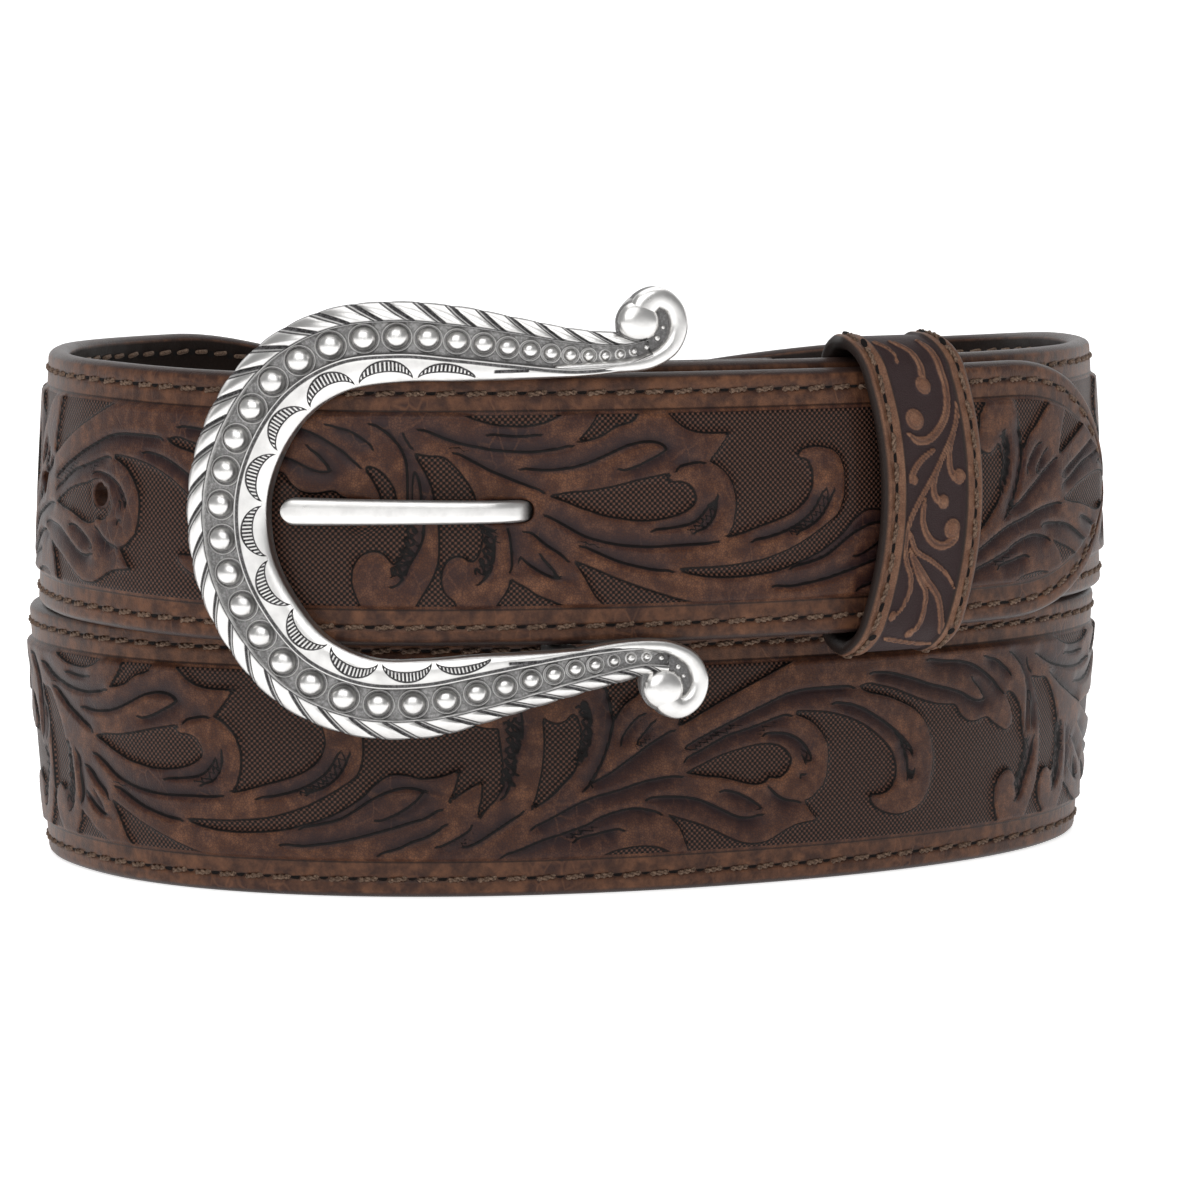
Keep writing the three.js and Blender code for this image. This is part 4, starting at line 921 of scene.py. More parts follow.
def silverFinish(name, carved=False):
    made = Finish(name)
    smudge = made.noise(3.2, 4., .6)
    fine = made.noise(.35, 3., .6)
    scratch = made.noise(1., 2., .6, place=made.node("ShaderNodeMapping", {}, {
        "Vector": made.place(), "Scale": (3., 3., .35)}))
    tone = made.blend(made.step(.4, .75, smudge) * .6, silver["bright"], silver["worn"])
    rough = silver["roughness"] + smudge * .12 + made.step(.55, .75, scratch) * .06
    height = fine * .05 + scratch * .12
    # this value carries patina in the hollows and also painted shade: a painted shadow on the lugs, a painted
    # reflection on the tongue's chamfers and a painted shadow where the tongue turns into its hole
    tarnish = made.value("tarnish")
    if carved:
        c, channel, reach = made.value("acrossBead"), made.value("channel"), made.value("edgeReach")
        phase = made.value("ropePhase")
        turn = made.math("FRACT", phase)
        inRope = made.step(-.02, .1, c - channel)
        groove = made.step(.19, .09, turn) + made.step(.93, .99, turn)
        second = made.step(.06, .025, made.math("ABSOLUTE", turn - .26)) * .9
        foot = made.step(.40, .12, c - channel) * .95
        between = made.step(.05, .12, turn) * made.step(.31, .25, turn) * .34
        rope = made.math("MAXIMUM", made.math("MAXIMUM", groove + between, second), foot) * inRope
        floor = made.step(.06, -.06, made.math("ABSOLUTE", c) - channel)
        ridge = made.step(.30, .12, made.math("ABSOLUTE", c + channel + .52)) * .95
        wall = made.step(.17, .05, made.math("ABSOLUTE", c + channel + .03)) * .9
        # stamped crescents along the inner rim
        moon = made.value("moonPhase")
        x = (made.math("FRACT", moon + .5) - .5) * 2 / .92
        y = c - made.value("moonAcross")
        bow = made.math("MAXIMUM", 1 - x ** 2, 0) ** .72
        low, high = bow * made.value("moonHigh") * .45, bow * made.value("moonHigh")
        inMoon = made.step(-.05, .06, y - low) * made.step(.05, -.06, y - high)
        among = made.step(-.52, -.48, moon) * made.step(10.52, 10.48, moon)
        ticks = made.step(.30, .62, made.math("ABSOLUTE", made.math("FRACT", x * 7.5) - .5) * 2)
        rimLine = made.math("MAXIMUM", made.step(.13, .04, made.math("ABSOLUTE", y - low)),
                            made.step(.18, .06, made.math("ABSOLUTE", y - high))) * made.step(.0, .12, bow)
        moons = made.math("MAXIMUM", inMoon * ticks, rimLine) * among
        # a drop and a dash beyond the last crescent at each end
        dashX = made.math("ABSOLUTE", x)
        dash = made.step(.30, .15, made.math("ABSOLUTE", y - .8)) * made.step(.62, .55, dashX) * (1 - among)
        dash = dash * made.step(-1.5, -1.45, moon) * made.step(11.5, 11.45, moon)
        stamped = made.math("MAXIMUM", moons, dash) * made.step(-.2, .0, -.35 - c - channel)
        dark = made.math("MAXIMUM", made.math("MAXIMUM", rope, ridge), made.math("MAXIMUM", wall, stamped))
        # painted shade: a thin dark band along the outer edge, where the rope turns down to the side
        outline = made.step(-.24, -.04, c - reach) * .75
        dark = made.math("MAXIMUM", dark, outline)
        mottled = made.step(.35, .7, made.noise(.7, 4., .7))
        dark = made.math("MAXIMUM", dark, floor * (.80 - mottled * .16))
        dark = made.math("MAXIMUM", dark, tarnish)
        height = height - dark * .9
    else:
        dark = tarnish
    tone = made.blend(dark, tone, made.blend(made.step(.4, .7, fine), silver["dark"], silver["grey"]))
    rough = rough + dark * .28
    made.set(Base_Color=tone, Metallic=1 - dark * .35, Roughness=rough, Normal=made.bump(height, .12))
    return made.material


carvedSilver = silverFinish("antiqueSilverCarved", True)
plainSilver = silverFinish("antiqueSilverPlain")

buckle = {
    "length": 72.1, "height": 60.9, "behindBar": 54.2, "middle": 55.1,
    "edge": 5.6, "rim": 6.5, "back": fieldFace + .8,
    "floor": 2.1, "crest": 3.35, "edgeHigh": 1.5, "ridge": 3.45, "innerEdge": 2.9,
    "beadDiameter": 3.5, "beadHeight": 1.75, "ropePitch": 3.9, "ropeSlant": -.92,
    "step": .21,
}
# beads by their way along the line from the nearer arm's end: size as a share of beadDiameter, and spacing
beadRows = np.array([(0, .25, 1.75), (4, .33, 2.1), (10, .47, 2.6), (18, .66, 3.1), (26, .80, 3.8), (34, .92, 4.35),
                     (44, 1, 4.7), (70, 1, 4.85)], float)
# along and up as shares of length and height, outer reach, inner reach, bead size, bead pitch
horseshoeRows = np.array([
    (.889, .895, .5, .33, .3, .33), (.839, .879, .56, .36, .46, .4), (.749, .877, .66, .46, .75, .53),
    (.631, .895, .77, .69, .92, .74), (.531, .911, .86, .86, 1, .83), (.424, .921, .87, .97, 1, .86),
    (.309, .903, .89, 1.02, 1, .9), (.205, .829, .93, 1.02, 1, .94), (.13, .701, .98, 1, 1, .97),
    (.093, .552, 1, 1, 1, 1), (.104, .394, 1, 1, 1, 1), (.157, .258, .96, 1.01, 1, .97),
    (.241, .145, .92, 1, 1, .94), (.354, .087, .89, .96, 1, .92), (.47, .084, .88, .94, 1, .87),
    (.571, .108, .79, .81, .96, .82), (.67, .136, .71, .6, .83, .75), (.752, .159, .66, .43, .66, .6),
    (.82, .174, .6, .32, .5, .5), (.877, .182, .52, .27, .36, .4), (.928, .176, .45, .26, .28, .34)], float)
# crescents from the upper arm round to the lower one: along and up
crescents = [(-17.1, 75.7), (-24.8, 75.7), (-32.2, 73.4), (-38.4, 68.2), (-42.5, 61.8), (-43.4, 53.4),
             (-41.1, 45.5), (-36.3, 39.4), (-29.6, 34.4), (-22.1, 33.1), (-14.9, 34.1)]


def centripetal(points, each=40):
    # the same rounded line through the rows as the solid frame has
    ends = np.concatenate([[2 * points[0] - points[1]], points, [2 * points[-1] - points[-2]]])
    runs, places = [], []
    for k in range(len(points) - 1):
        p = ends[k:k + 4]
        gap = np.maximum(np.linalg.norm(np.diff(p, axis=0), axis=1) ** .5, 1e-4)
        t = np.linspace(0, 1, each, endpoint=False)[:, None]
        m1 = ((p[1] - p[0]) / gap[0] - (p[2] - p[0]) / (gap[0] + gap[1]) + (p[2] - p[1]) / gap[1]) * gap[1]
        m2 = ((p[2] - p[1]) / gap[1] - (p[3] - p[1]) / (gap[1] + gap[2]) + (p[3] - p[2]) / gap[2]) * gap[1]
        runs.append((2 * t ** 3 - 3 * t ** 2 + 1) * p[1] + (t ** 3 - 2 * t ** 2 + t) * m1
                    + (3 * t ** 2 - 2 * t ** 3) * p[2] + (t ** 3 - t ** 2) * m2)
        places.append(k + t[:, 0])
    return np.concatenate(runs + [points[-1:]]), np.concatenate(places + [[len(points) - 1.]])


beadPoints, beadRuns = centripetal(np.stack([
    horseshoeRows[:, 0] * buckle["length"] - buckle["behindBar"],
    (horseshoeRows[:, 1] - .5) * buckle["height"] + buckle["middle"]], -1))
beadWalk = np.concatenate([[0], np.cumsum(np.linalg.norm(np.diff(beadPoints, axis=0), axis=1))])
beadLength = beadWalk[-1]
rowRuns = np.concatenate([np.arange(len(horseshoeRows))[:, None].astype(float), horseshoeRows], 1)


def horseshoeAt(walked):
    # place, direction to the outer edge and the local sizes at a length along the bead line
    walked = np.asarray(walked, float)
    put = lambda at: np.stack([np.interp(at, beadWalk, beadPoints[:, k]) for k in (0, 1)], -1)
    ahead = unit(put(np.minimum(walked + .4, beadLength)) - put(np.maximum(walked - .4, 0)))
    run = np.interp(walked, beadWalk, beadRuns)
    sizes = [smoothRows(rowRuns, k, run) for k in (3, 4, 5, 6)]
    return put(walked), np.stack([ahead[..., 1], -ahead[..., 0]], -1), *sizes


def buildHorseshoe():
    rows = int(beadLength / buckle["step"])
    walked = np.linspace(0, beadLength, rows)
    point, edgeward, edge, rim, bead, _ = horseshoeAt(walked)
    edge, rim = edge * buckle["edge"], rim * buckle["rim"]
    channel = bead * buckle["beadDiameter"] / 2 + .42
    channel = np.minimum(channel, np.minimum(edge, rim) - .6)
    c, n, q = [], [], []
    one = np.ones(rows)
    for share in (0, .35, .75):                      # outer side
        c.append(edge)
        n.append(share * buckle["edgeHigh"] * one)
        q.append(one)
    for share in np.linspace(1, 0, 20):              # rope band
        c.append(channel + (edge - channel) * share)
        n.append((buckle["edgeHigh"] + (buckle["crest"] - buckle["edgeHigh"]) * (1 - share ** 2.4)) * one)
        q.append(share * one)
    for share in np.linspace(1, -1, 8):              # channel floor
        c.append(channel * share * .97)
        n.append(buckle["floor"] * one)
        q.append(0 * one)
    for lift, inset in ((.55, .02), (1, .1), (1, .32), (.93, .46), (.94, .6)):   # thin raised line
        c.append(-channel - inset)
        n.append(buckle["floor"] + (buckle["ridge"] - buckle["floor"]) * lift * one)
        q.append(0 * one)
    for share in np.linspace(.08, 1, 15):            # polished rim, rounded to the inner edge
        inner = channel + .62
        c.append(-(inner + (np.maximum(rim, inner + .25) - inner) * share))
        n.append(buckle["ridge"] * .97 - (buckle["ridge"] - buckle["innerEdge"]) * share ** 5 * 1.4 * one)
        q.append(0 * one)
    last = -np.maximum(rim, channel + .87)
    for lift in (.7, .35, 0):
        c.append(last)
        n.append(buckle["innerEdge"] * lift * one)
        q.append(0 * one)
    for share in (.5, 0, -.5):
        c.append(edge * max(share, 0) + last * max(-share, 0))
        n.append(0 * one)
        q.append(0 * one)
    c, n, q = np.stack(c, 1), np.stack(n, 1), np.stack(q, 1)
    pitch = buckle["ropePitch"]
    ropes = round(beadLength / pitch)
    sheared = walked[:, None] / beadLength * ropes + buckle["ropeSlant"] * (q + .05 * np.sin(np.pi * q))
    turn = sheared % 1
    lobe = np.sin(np.pi * np.clip(turn, 0, 1)) ** .4
    band = (q > 0) * smoothstep(0, .12, q)
    upright = (np.arange(c.shape[1]) < 23) & (np.arange(c.shape[1]) > 2)
    n = n - band * (1 - lobe) * np.where(upright, .8, .15) * (.35 + .65 * np.sin(np.pi * np.clip(q, 0, 1) * .8 + .35))
    second = np.exp(-((turn - .26) / .035) ** 2) * band * upright
    n = n - .22 * second
    c = c - (q > .86) * (1 - lobe) * .16
    places = point[:, None] + edgeward[:, None] * c[..., None]
    bent = frontPoint(places[..., 0], buckle["back"] + n, places[..., 1])
    found = []
    for s, z in crescents:
        found.append(beadWalk[np.argmin(np.hypot(beadPoints[:, 0] - s, beadPoints[:, 1] - z))])
    found = np.array(found)
    order = np.arange(len(found), dtype=float)
    gaps = np.gradient(found)
    phase = np.interp(walked, found, order)
    phase = np.where(walked < found[0], (walked - found[0]) / gaps[0], phase)
    phase = np.where(walked > found[-1], order[-1] + (walked - found[-1]) / gaps[-1], phase)
    wide = lambda value: np.broadcast_to(value[:, None], c.shape)
    # the crescents stand on the inner edge; the rim narrows towards the arms' ends
    moonAcross = -rim + .5
    moonHigh = np.clip(rim - channel - 1.55, .6, 3.1)
    # the tarnish value darkens the frame towards its base, down its side walls
    values = {"acrossBead": c, "channel": wide(channel), "edgeReach": wide(edge), "ropePhase": sheared,
              "moonPhase": wide(phase), "moonHigh": wide(moonHigh), "moonAcross": wide(moonAcross),
              "tarnish": (1 - smoothstep(.0, .55, n)) * .6}
    quads = gridQuads(*c.shape, wrapColumns=True)
    points = bent.reshape(-1, 3)
    flat = {key: np.asarray(value).reshape(-1) for key, value in values.items()}
    for ring in (np.arange(c.shape[1])[::-1], (rows - 1) * c.shape[1] + np.arange(c.shape[1])):
        points = np.concatenate([points, points[ring].mean(0)[None]])
        flat = {key: np.append(value, value[ring[0]]) for key, value in flat.items()}
        quads = np.concatenate([quads, capFan(ring, len(points) - 1)])
    return makeMesh("horseshoe", points, quads, flat, carvedSilver, "antique_silver")


def domeParts(places, radii, base, height, squash=1., around=22, up=9):
    # round heads that stand on the frame, all in one mesh
    points, quads, tarnish = [], [], []
    turn = np.linspace(0, 2 * np.pi, around, endpoint=False)
    rise = np.linspace(0, np.pi / 2, up)
    for (s, z), radius, low, high in zip(places, radii, base, height):
        r = radius * np.cos(rise[:, None]) ** .7 * np.ones(around)
        n = low + (high - low) * np.sin(rise[:, None]) * np.ones(around)
        # a dark skirt on the floor round the foot
        r = np.concatenate([np.full((1, around), radius + .22), r])
        n = np.concatenate([np.full((1, around), low + .13), n + .13 * (n < low + .13)])
        grid = frontPoint(s + r * np.cos(turn), buckle["back"] + n, z + r * np.sin(turn))
        start = sum(len(part) for part in points)
        quads.append(gridQuads(up + 1, around, wrapColumns=True) + start)
        points.append(grid.reshape(-1, 3))
        tarnish.append(((1 - smoothstep(.0, .28, (n - low) / (high - low))) * .95).reshape(-1))
    return np.concatenate(points), np.concatenate(quads), {"tarnish": np.concatenate(tarnish)}


def ringParts(places, radii, tube, level, around=26, section=6):
    points, quads = [], []
    turn = np.linspace(0, 2 * np.pi, around, endpoint=False)[:, None]
    spin = np.linspace(0, 2 * np.pi, section, endpoint=False)[None]
    for (s, z), radius in zip(places, radii):
        r = radius + tube * np.cos(spin)
        grid = frontPoint(s + r * np.cos(turn), buckle["back"] + level + tube * 1.2 * np.sin(spin) + 0 * turn,
                          z + r * np.sin(turn))
        start = sum(len(part) for part in points)
        quads.append(gridQuads(around, section, True, True) + start)
        points.append(grid.reshape(-1, 3))
    points = np.concatenate(points)
    return points, np.concatenate(quads), {"tarnish": np.full(len(points), .42)}


def ribbon(path, half, base, height, columns=15, pitch=.3, hollow=0):
    # a domed band that lies on the frame along a path of along and up
    path = np.asarray(path, float)
    run, places = centripetal(path, 14)
    walked = np.concatenate([[0], np.cumsum(np.linalg.norm(np.diff(run, axis=0), axis=1))])
    even = np.linspace(0, walked[-1], max(int(walked[-1] / pitch), 6))
    line = np.stack([np.interp(even, walked, run[:, k]) for k in (0, 1)], -1)
    at = np.interp(even, walked, places)
    order = np.arange(len(path), dtype=float)
    half, base, height = (np.interp(at, order, value) for value in (half, base, height))
    ahead = unit(np.gradient(line, axis=0))
    side = np.stack([-ahead[:, 1], ahead[:, 0]], -1)
    u = np.concatenate([[-1], np.sin(np.linspace(-np.pi / 2, np.pi / 2, columns)), [1]])
    lift = np.concatenate([[0], np.clip(1 - np.abs(u[1:-1]) ** 3.2, 0, 1) ** .5, [0]])
    sunk = np.concatenate([[-1.5], np.zeros(columns), [-1.5]])
    s = line[:, 0:1] + side[:, 0:1] * half[:, None] * u
    z = line[:, 1:2] + side[:, 1:2] * half[:, None] * u
    n = base[:, None] + height[:, None] * lift + sunk
    grid = frontPoint(s, buckle["back"] + n, z)
    quads = gridQuads(*n.shape, wrapColumns=True)
    points = grid.reshape(-1, 3)
    tarnish = ((1 - smoothstep(.0, .3, lift))[None] * .9 * np.ones(n.shape)).reshape(-1)
    for ring in (np.arange(n.shape[1])[::-1], (len(n) - 1) * n.shape[1] + np.arange(n.shape[1])):
        points = np.concatenate([points, points[ring].mean(0)[None]])
        tarnish = np.append(tarnish, .3)
        quads = np.concatenate([quads, capFan(ring, len(points) - 1)])
    return points, quads, {"tarnish": tarnish}


def discPart(s, z, radius, top, around=48):
    turn = np.linspace(0, 2 * np.pi, around, endpoint=False)
    radii = np.array([radius, radius, radius * .97, radius * .6, .05])[:, None]
    level = np.array([0, top - .15, top, top, top])[:, None]
    grid = frontPoint(s + radii * np.cos(turn), buckle["back"] + level + 0 * turn, z + radii * np.sin(turn))
    grid = np.concatenate([frontPoint(s + .05 * np.cos(turn), buckle["back"] + 0 * turn, z + .05 * np.sin(turn))[None],
                           grid])
    tarnish = np.repeat([.5, .3, .6, .84, .84, .84], around)
    return grid.reshape(-1, 3), gridQuads(6, around, wrapColumns=True), {"tarnish": tarnish}


def join(parts):
    points, quads, values = [], [], []
    start = 0
    for p, q, v in parts:
        quads.append(q + start)
        points.append(p)
        values.append(v["tarnish"])
        start += len(p)
    return np.concatenate(points), np.concatenate(quads), {"tarnish": np.concatenate(values)}


curls = {
    "upper": {"middle": (10.6, 82.1), "radius": 4.7, "ball": (8.5, 82.6), "ballRadius": 2.95,
              "path": [(-3., 76.2), (2., 76.4), (6.3, 76.5), (10.1, 77.2), (13.0, 79.1), (14.1, 82.0), (13.3, 84.7),
                       (11.2, 85.9), (9.5, 85.0), (8.7, 83.4)],
              "half": [.6, .75, .95, 1.15, 1.3, 1.35, 1.4, 1.6, 1.9, 1.8]},
    "lower": {"middle": (13.7, 32.2), "radius": 4.6, "ball": (12.1, 31.2), "ballRadius": 2.9,
              "path": [(0., 36.6), (5., 37.3), (9.3, 37.4), (13.2, 36.8), (16.1, 35.0), (17.2, 32.2), (16.3, 29.6),
                       (14.3, 28.5), (12.8, 29.3), (12.2, 30.6)],
              "half": [.5, .7, .9, 1.05, 1.25, 1.35, 1.45, 1.65, 1.9, 1.8]},
}


def buildBeads():
    # the spacing widens from the arms' ends to the closed end; the last beads run on into the curls
    walked, beads = .3, []
    while walked < beadLength - .3:
        point, fromEnd = horseshoeAt(walked)[0], min(walked, beadLength - walked)
        size, spacing = (float(np.interp(fromEnd, beadRows[:, 0], beadRows[:, k])) for k in (1, 2))
        beads.append((tuple(point), size))
        walked += spacing
    beads += [((11.1, 80.3), .27), ((11.9, 81.8), .2), ((14.1, 34.2), .26), ((14.9, 32.9), .2)]
    places = [place for place, _ in beads]
    radii = [bead * buckle["beadDiameter"] / 2 for _, bead in beads]
    base = [buckle["floor"] - .1] * len(beads)
    height = [buckle["floor"] + max(bead, .35) * buckle["beadHeight"] for _, bead in beads]
    large = [(place, radius) for place, radius in zip(places, radii) if radius > .75]
    rings = ringParts([p for p, _ in large], [r + .36 for _, r in large], .12, buckle["floor"] + .10)
    return makeMesh("horseshoe_beads", *join([domeParts(places, radii, base, height), rings]), plainSilver,
                    "antique_silver")


def buildCurls():
    parts = []
    for curl in curls.values():
        count = len(curl["path"])
        parts.append(discPart(*curl["middle"], curl["radius"], buckle["floor"] + .15))
        base = np.full(count, buckle["floor"] - .1)
        height = np.interp(np.arange(count), [0, 2, count - 1], [1.2, 1.5, 1.5])
        parts.append(ribbon(curl["path"], curl["half"], base, height))
        parts.append(domeParts([curl["ball"]], [curl["ballRadius"]], [buckle["floor"] - .2], [buckle["floor"] + 1.8],
                               around=36, up=14))
    return makeMesh("horseshoe_curls", *join(parts), plainSilver, "antique_silver")


def roundBlock(corners, soft=.5):
    # a lug: a box whose edges are rounded by a bevel kept in the mesh, painted dark all over as a painted shadow
    import bmesh
    (s0, o0, z0), (s1, o1, z1) = corners
    shape = bmesh.new()
    bmesh.ops.create_cube(shape, size=1)
    for vertex in shape.verts:
        vertex.co = ((s0 + s1) / 2 + vertex.co.x * (s1 - s0), (o0 + o1) / 2 + vertex.co.y * (o1 - o0),
                     (z0 + z1) / 2 + vertex.co.z * (z1 - z0))
    bmesh.ops.bevel(shape, geom=shape.edges[:], offset=soft, segments=3, affect="EDGES", profile=.5)
    bmesh.ops.triangulate(shape, faces=shape.faces[:])
    places = np.array([vertex.co[:] for vertex in shape.verts])
    faces = np.array([[v.index for v in face.verts] for face in shape.faces])
    shape.free()
    bent = frontPoint(places[:, 0], places[:, 1], places[:, 2])
    # painted shadow: the whole lug is painted dark, as the shade in the gap between strap and frame
    return bent, np.concatenate([faces[:, ::-1], faces[:, :1]], 1), {"tarnish": np.full(len(bent), .9)}


def buildBar():
    barOut = -belt["lapStep"] - foldRadius
    top, bottom = upperHeight + belt["width"] + .3, upperHeight - belt["dip"] - .6
    turn = np.linspace(0, 2 * np.pi, 28, endpoint=False)
    level = np.linspace(bottom - 1, top + 1, 12)[:, None]
    grid = frontPoint(1.6 * np.cos(turn) + 0 * level, barOut + 1.6 * np.sin(turn) + 0 * level, level + 0 * turn)
    bar = (grid.reshape(-1, 3), gridQuads(12, 28, wrapColumns=True), {"tarnish": np.full(12 * 28, .1)})
    rear = -belt["lapStep"] - 5.5
    lugs = [roundBlock(((-2.1, rear, low), (2.1, buckle["back"] + 1, low + 3.6))) for low in (top, bottom - 3.6)]
    return makeMesh("horseshoe_bar", *join([bar, *lugs]), plainSilver, "antique_silver")


framePieces = [buildHorseshoe(), buildBeads(), buildCurls(), buildBar()]
for piece in framePieces:
    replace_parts(piece, "buckle_frame")
print("horseshoe built")


# Tongue

tongue = {"half": 1.5, "tipHalf": 1.9, "reach": 39.4, "thick": 2.4, "lie": fieldFace + .6}


def buildTongue():
    middle = upperHeight - belt["dip"] + halfWidth
    level = tongue["lie"] + tongue["thick"] / 2
    path = [(-.6, -7.9), (-2.6, -6.2), (-4.4, -3.8), (-5.8, -1.1), (-6.8, 1.3), (-8.2, level - 1.0), (-10.2, level - .2),
            (-13, level), (-20, level), (-30, level), (-tongue["reach"] + .05, level)]
    run, _ = centripetal(np.array(path), 16)
    walked = np.concatenate([[0], np.cumsum(np.linalg.norm(np.diff(run, axis=0), axis=1))])
    even = np.unique(np.concatenate([np.linspace(0, walked[-1] - 3, 90), walked[-1] - 3 * np.linspace(1, 0, 24) ** 2]))
    s, out = (np.interp(even, walked, run[:, k]) for k in (0, 1))
    ahead = unit(np.stack([np.gradient(s, even), np.gradient(out, even)], -1))
    half = np.interp(-s, [8, tongue["reach"] - 3], [tongue["half"], tongue["tipHalf"]])
    fromTip = np.clip((-s - (tongue["reach"] - tongue["tipHalf"])) / tongue["tipHalf"], 0, 1)
    half = half * np.sqrt(np.clip(1 - fromTip ** 2, .0004, 1))
    thick = tongue["thick"] / 2 * (1 - .25 * fromTip ** 3)
    # the section: a flat face with bevelled sides
    section = np.array([(-.72, 1), (-.3, 1.03), (.3, 1.03), (.72, 1), (.84, .93), (.97, .55), (1, .4), (1, -.4), (.9, -.85),
                        (.6, -1), (-.6, -1), (-.9, -.85), (-1, -.4), (-1, .4), (-.97, .55), (-.84, .93)])
    u, v = section.T
    # outward of the bend is to the right of the walk
    sideways = np.stack([ahead[:, 1], -ahead[:, 0]], -1)
    grid = frontPoint(s[:, None] + sideways[:, 0:1] * thick[:, None] * v, out[:, None] + sideways[:, 1:2] * thick[:, None] * v,
                      middle + half[:, None] * u)
    # painted reflection: the chamfers beside the flat face are darkened, the upper one most; the sides and underside
    # are darker too
    dark = np.array([0, 0, 0, 0, .1, .75, .3, .3, .3, .3, .3, .3, .3, .3, .55, .1])
    # painted shadow: where the tongue turns down into its hole it is painted dark
    turned = smoothstep(-8.6, -6.6, s)[:, None]
    tarnish = (np.maximum(dark * np.clip((tongue["reach"] + s) / 1.5, 0, 1)[:, None], turned * .92)).reshape(-1)
    points, quads = grid.reshape(-1, 3), gridQuads(len(s), len(u), wrapColumns=True)[:, ::-1]
    for ring in (np.arange(len(u)), (len(s) - 1) * len(u) + np.arange(len(u))[::-1]):
        points = np.concatenate([points, points[ring].mean(0)[None]])
        tarnish = np.append(tarnish, tarnish[ring[0]])
        quads = np.concatenate([quads, capFan(ring, len(points) - 1)])
    ringOut = -belt["lapStep"] - foldRadius
    turn = np.linspace(0, 2 * np.pi, 40, endpoint=False)[:, None]
    angle = np.linspace(0, 2 * np.pi, 24, endpoint=False)
    r = 1.9 + 1.0 + 1.0 * np.cos(angle)[None]
    ring = frontPoint(r * np.cos(turn), ringOut + r * np.sin(turn), middle + 1.5 * np.sin(angle)[None] + 0 * turn)
    loop = (ring.reshape(-1, 3), gridQuads(40, 24, True, True), {"tarnish": np.full(40 * 24, .2)})
    return makeMesh("tongue_bar", *join([(points, quads, {"tarnish": tarnish}), loop]), plainSilver, "antique_silver")


tonguePiece = buildTongue()
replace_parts(tonguePiece, "tongue")
print("tongue built")


# Stitches

# the hole colour is painted shade: a near-black disc stands for the shaded stitch hole
thread = {
    "light": (.190, .122, .083), "dark": (.050, .028, .018), "hole": (.003, .0015, .0012),
    "pitch": 4.25, "length": 3.1, "ply": .23, "twist": 1.5, "stand": .20,
}


def threadFinish():
    made = Finish("waxedThread")
    strand = made.step(.3, .7, made.noise(.3, 3., .6))
    tone = made.blend(strand, thread["light"], thread["dark"])
    # painted shade: the stitch hole disc is near-black
    tone = made.blend(made.value("hole"), tone, thread["hole"])
    made.set(Base_Color=tone, Roughness=.62 + made.value("hole") * .3, Normal=made.bump(strand, .05),
             Specular_IOR_Level=.25)
    return made.material


def stitchTemplate(plies=2, rings=9, sides=6):
    # one stitch lying along x, out along z, with a near-black disc where it goes in: painted shade of the stitch hole
    points, quads, hole = [], [], []
    x = np.linspace(-1, 1, rings)
    spin = np.linspace(0, 2 * np.pi, sides, endpoint=False)
    for ply in range(plies):
        swing = thread["ply"] * .85 * (plies > 1)
        radius = thread["ply"] * (1 if plies > 1 else 1.6) * np.clip(1.15 - x ** 6, .25, 1)
        turn = np.pi * thread["twist"] * x + np.pi * ply
        y = swing * np.cos(turn) * (1 - .5 * x ** 4)
        z = thread["stand"] * (1 - x ** 4) - .30 * x ** 8 + swing * np.sin(turn) * .8
        ringY = y[:, None] + radius[:, None] * np.cos(spin)
        ringZ = z[:, None] + radius[:, None] * np.sin(spin)
        ringX = np.broadcast_to(x[:, None] * thread["length"] / 2, ringY.shape)
        quads.append(gridQuads(rings, sides, wrapColumns=True) + len(points) * rings * sides)
        points.append(np.stack([ringX, ringY, ringZ], -1).reshape(-1, 3))
    points = np.concatenate(points)
    hole = np.zeros(len(points))
    turn = np.linspace(0, 2 * np.pi, 8, endpoint=False)
    rim = np.stack([thread["pitch"] / 2 + .74 * np.cos(turn), .50 * np.sin(turn), np.full(8, .03)], -1)
    centre = len(points) + 8
    disc = capFan(len(points) + np.arange(8), centre)
    points = np.concatenate([points, rim, [(thread["pitch"] / 2, 0, .05)]])
    return points, np.concatenate(quads + [disc]), np.concatenate([hole, np.ones(9)])


def stitchRow(places, faces, template, slant=.12):
    # repeats the template along a fine run of places with their outward directions
    points, quads, hole = template
    walked = np.concatenate([[0], np.cumsum(np.linalg.norm(np.diff(places, axis=0), axis=1))])
    count = int(walked[-1] / thread["pitch"])
    at = (np.arange(count) + .5) * walked[-1] / count
    read = lambda rows, where: np.stack([np.interp(where, walked, rows[:, k]) for k in range(3)], -1)
    centre, out = read(places, at), unit(read(faces, at))
    ahead = unit(read(places, at + 1.2) - read(places, at - 1.2))
    side = unit(np.cross(out, ahead))
    tilt = slant + .05 * np.sin(np.arange(count) * 2.4)[:, None]
    ahead, side = unit(ahead + side * tilt), unit(side - ahead * tilt)
    made = (centre[:, None] + points[None, :, 0:1] * ahead[:, None] + points[None, :, 1:2] * side[:, None]
            + points[None, :, 2:3] * out[:, None])
    grown = quads[None] + (np.arange(count) * len(points))[:, None, None]
    return made.reshape(-1, 3), grown.reshape(-1, 4), np.tile(hole, count)


def tipRun():
    # the stitch row's way round the strap's tip as along and across, one seam's inset inside the outline
    shape = strapShape["seamIn"]
    along = strapEnd - belt["tipLength"] * (1 - np.linspace(0, 1, 160) ** .7)
    half = halfNearTip(along)
    upper = np.stack([along, half], -1)
    end = np.stack([np.full(40, strapEnd), np.linspace(half[-1], -half[-1], 40)], -1)
    outline = np.concatenate([upper, end[1:-1], upper[::-1] * [1, -1]])
    ahead = unit(np.gradient(outline, axis=0))
    inside = outline + np.stack([ahead[:, 1], -ahead[:, 0]], -1) * shape
    gap = np.linalg.norm(inside[:, None] - outline[None], axis=-1).min(1)
    return inside[gap > shape - .06]


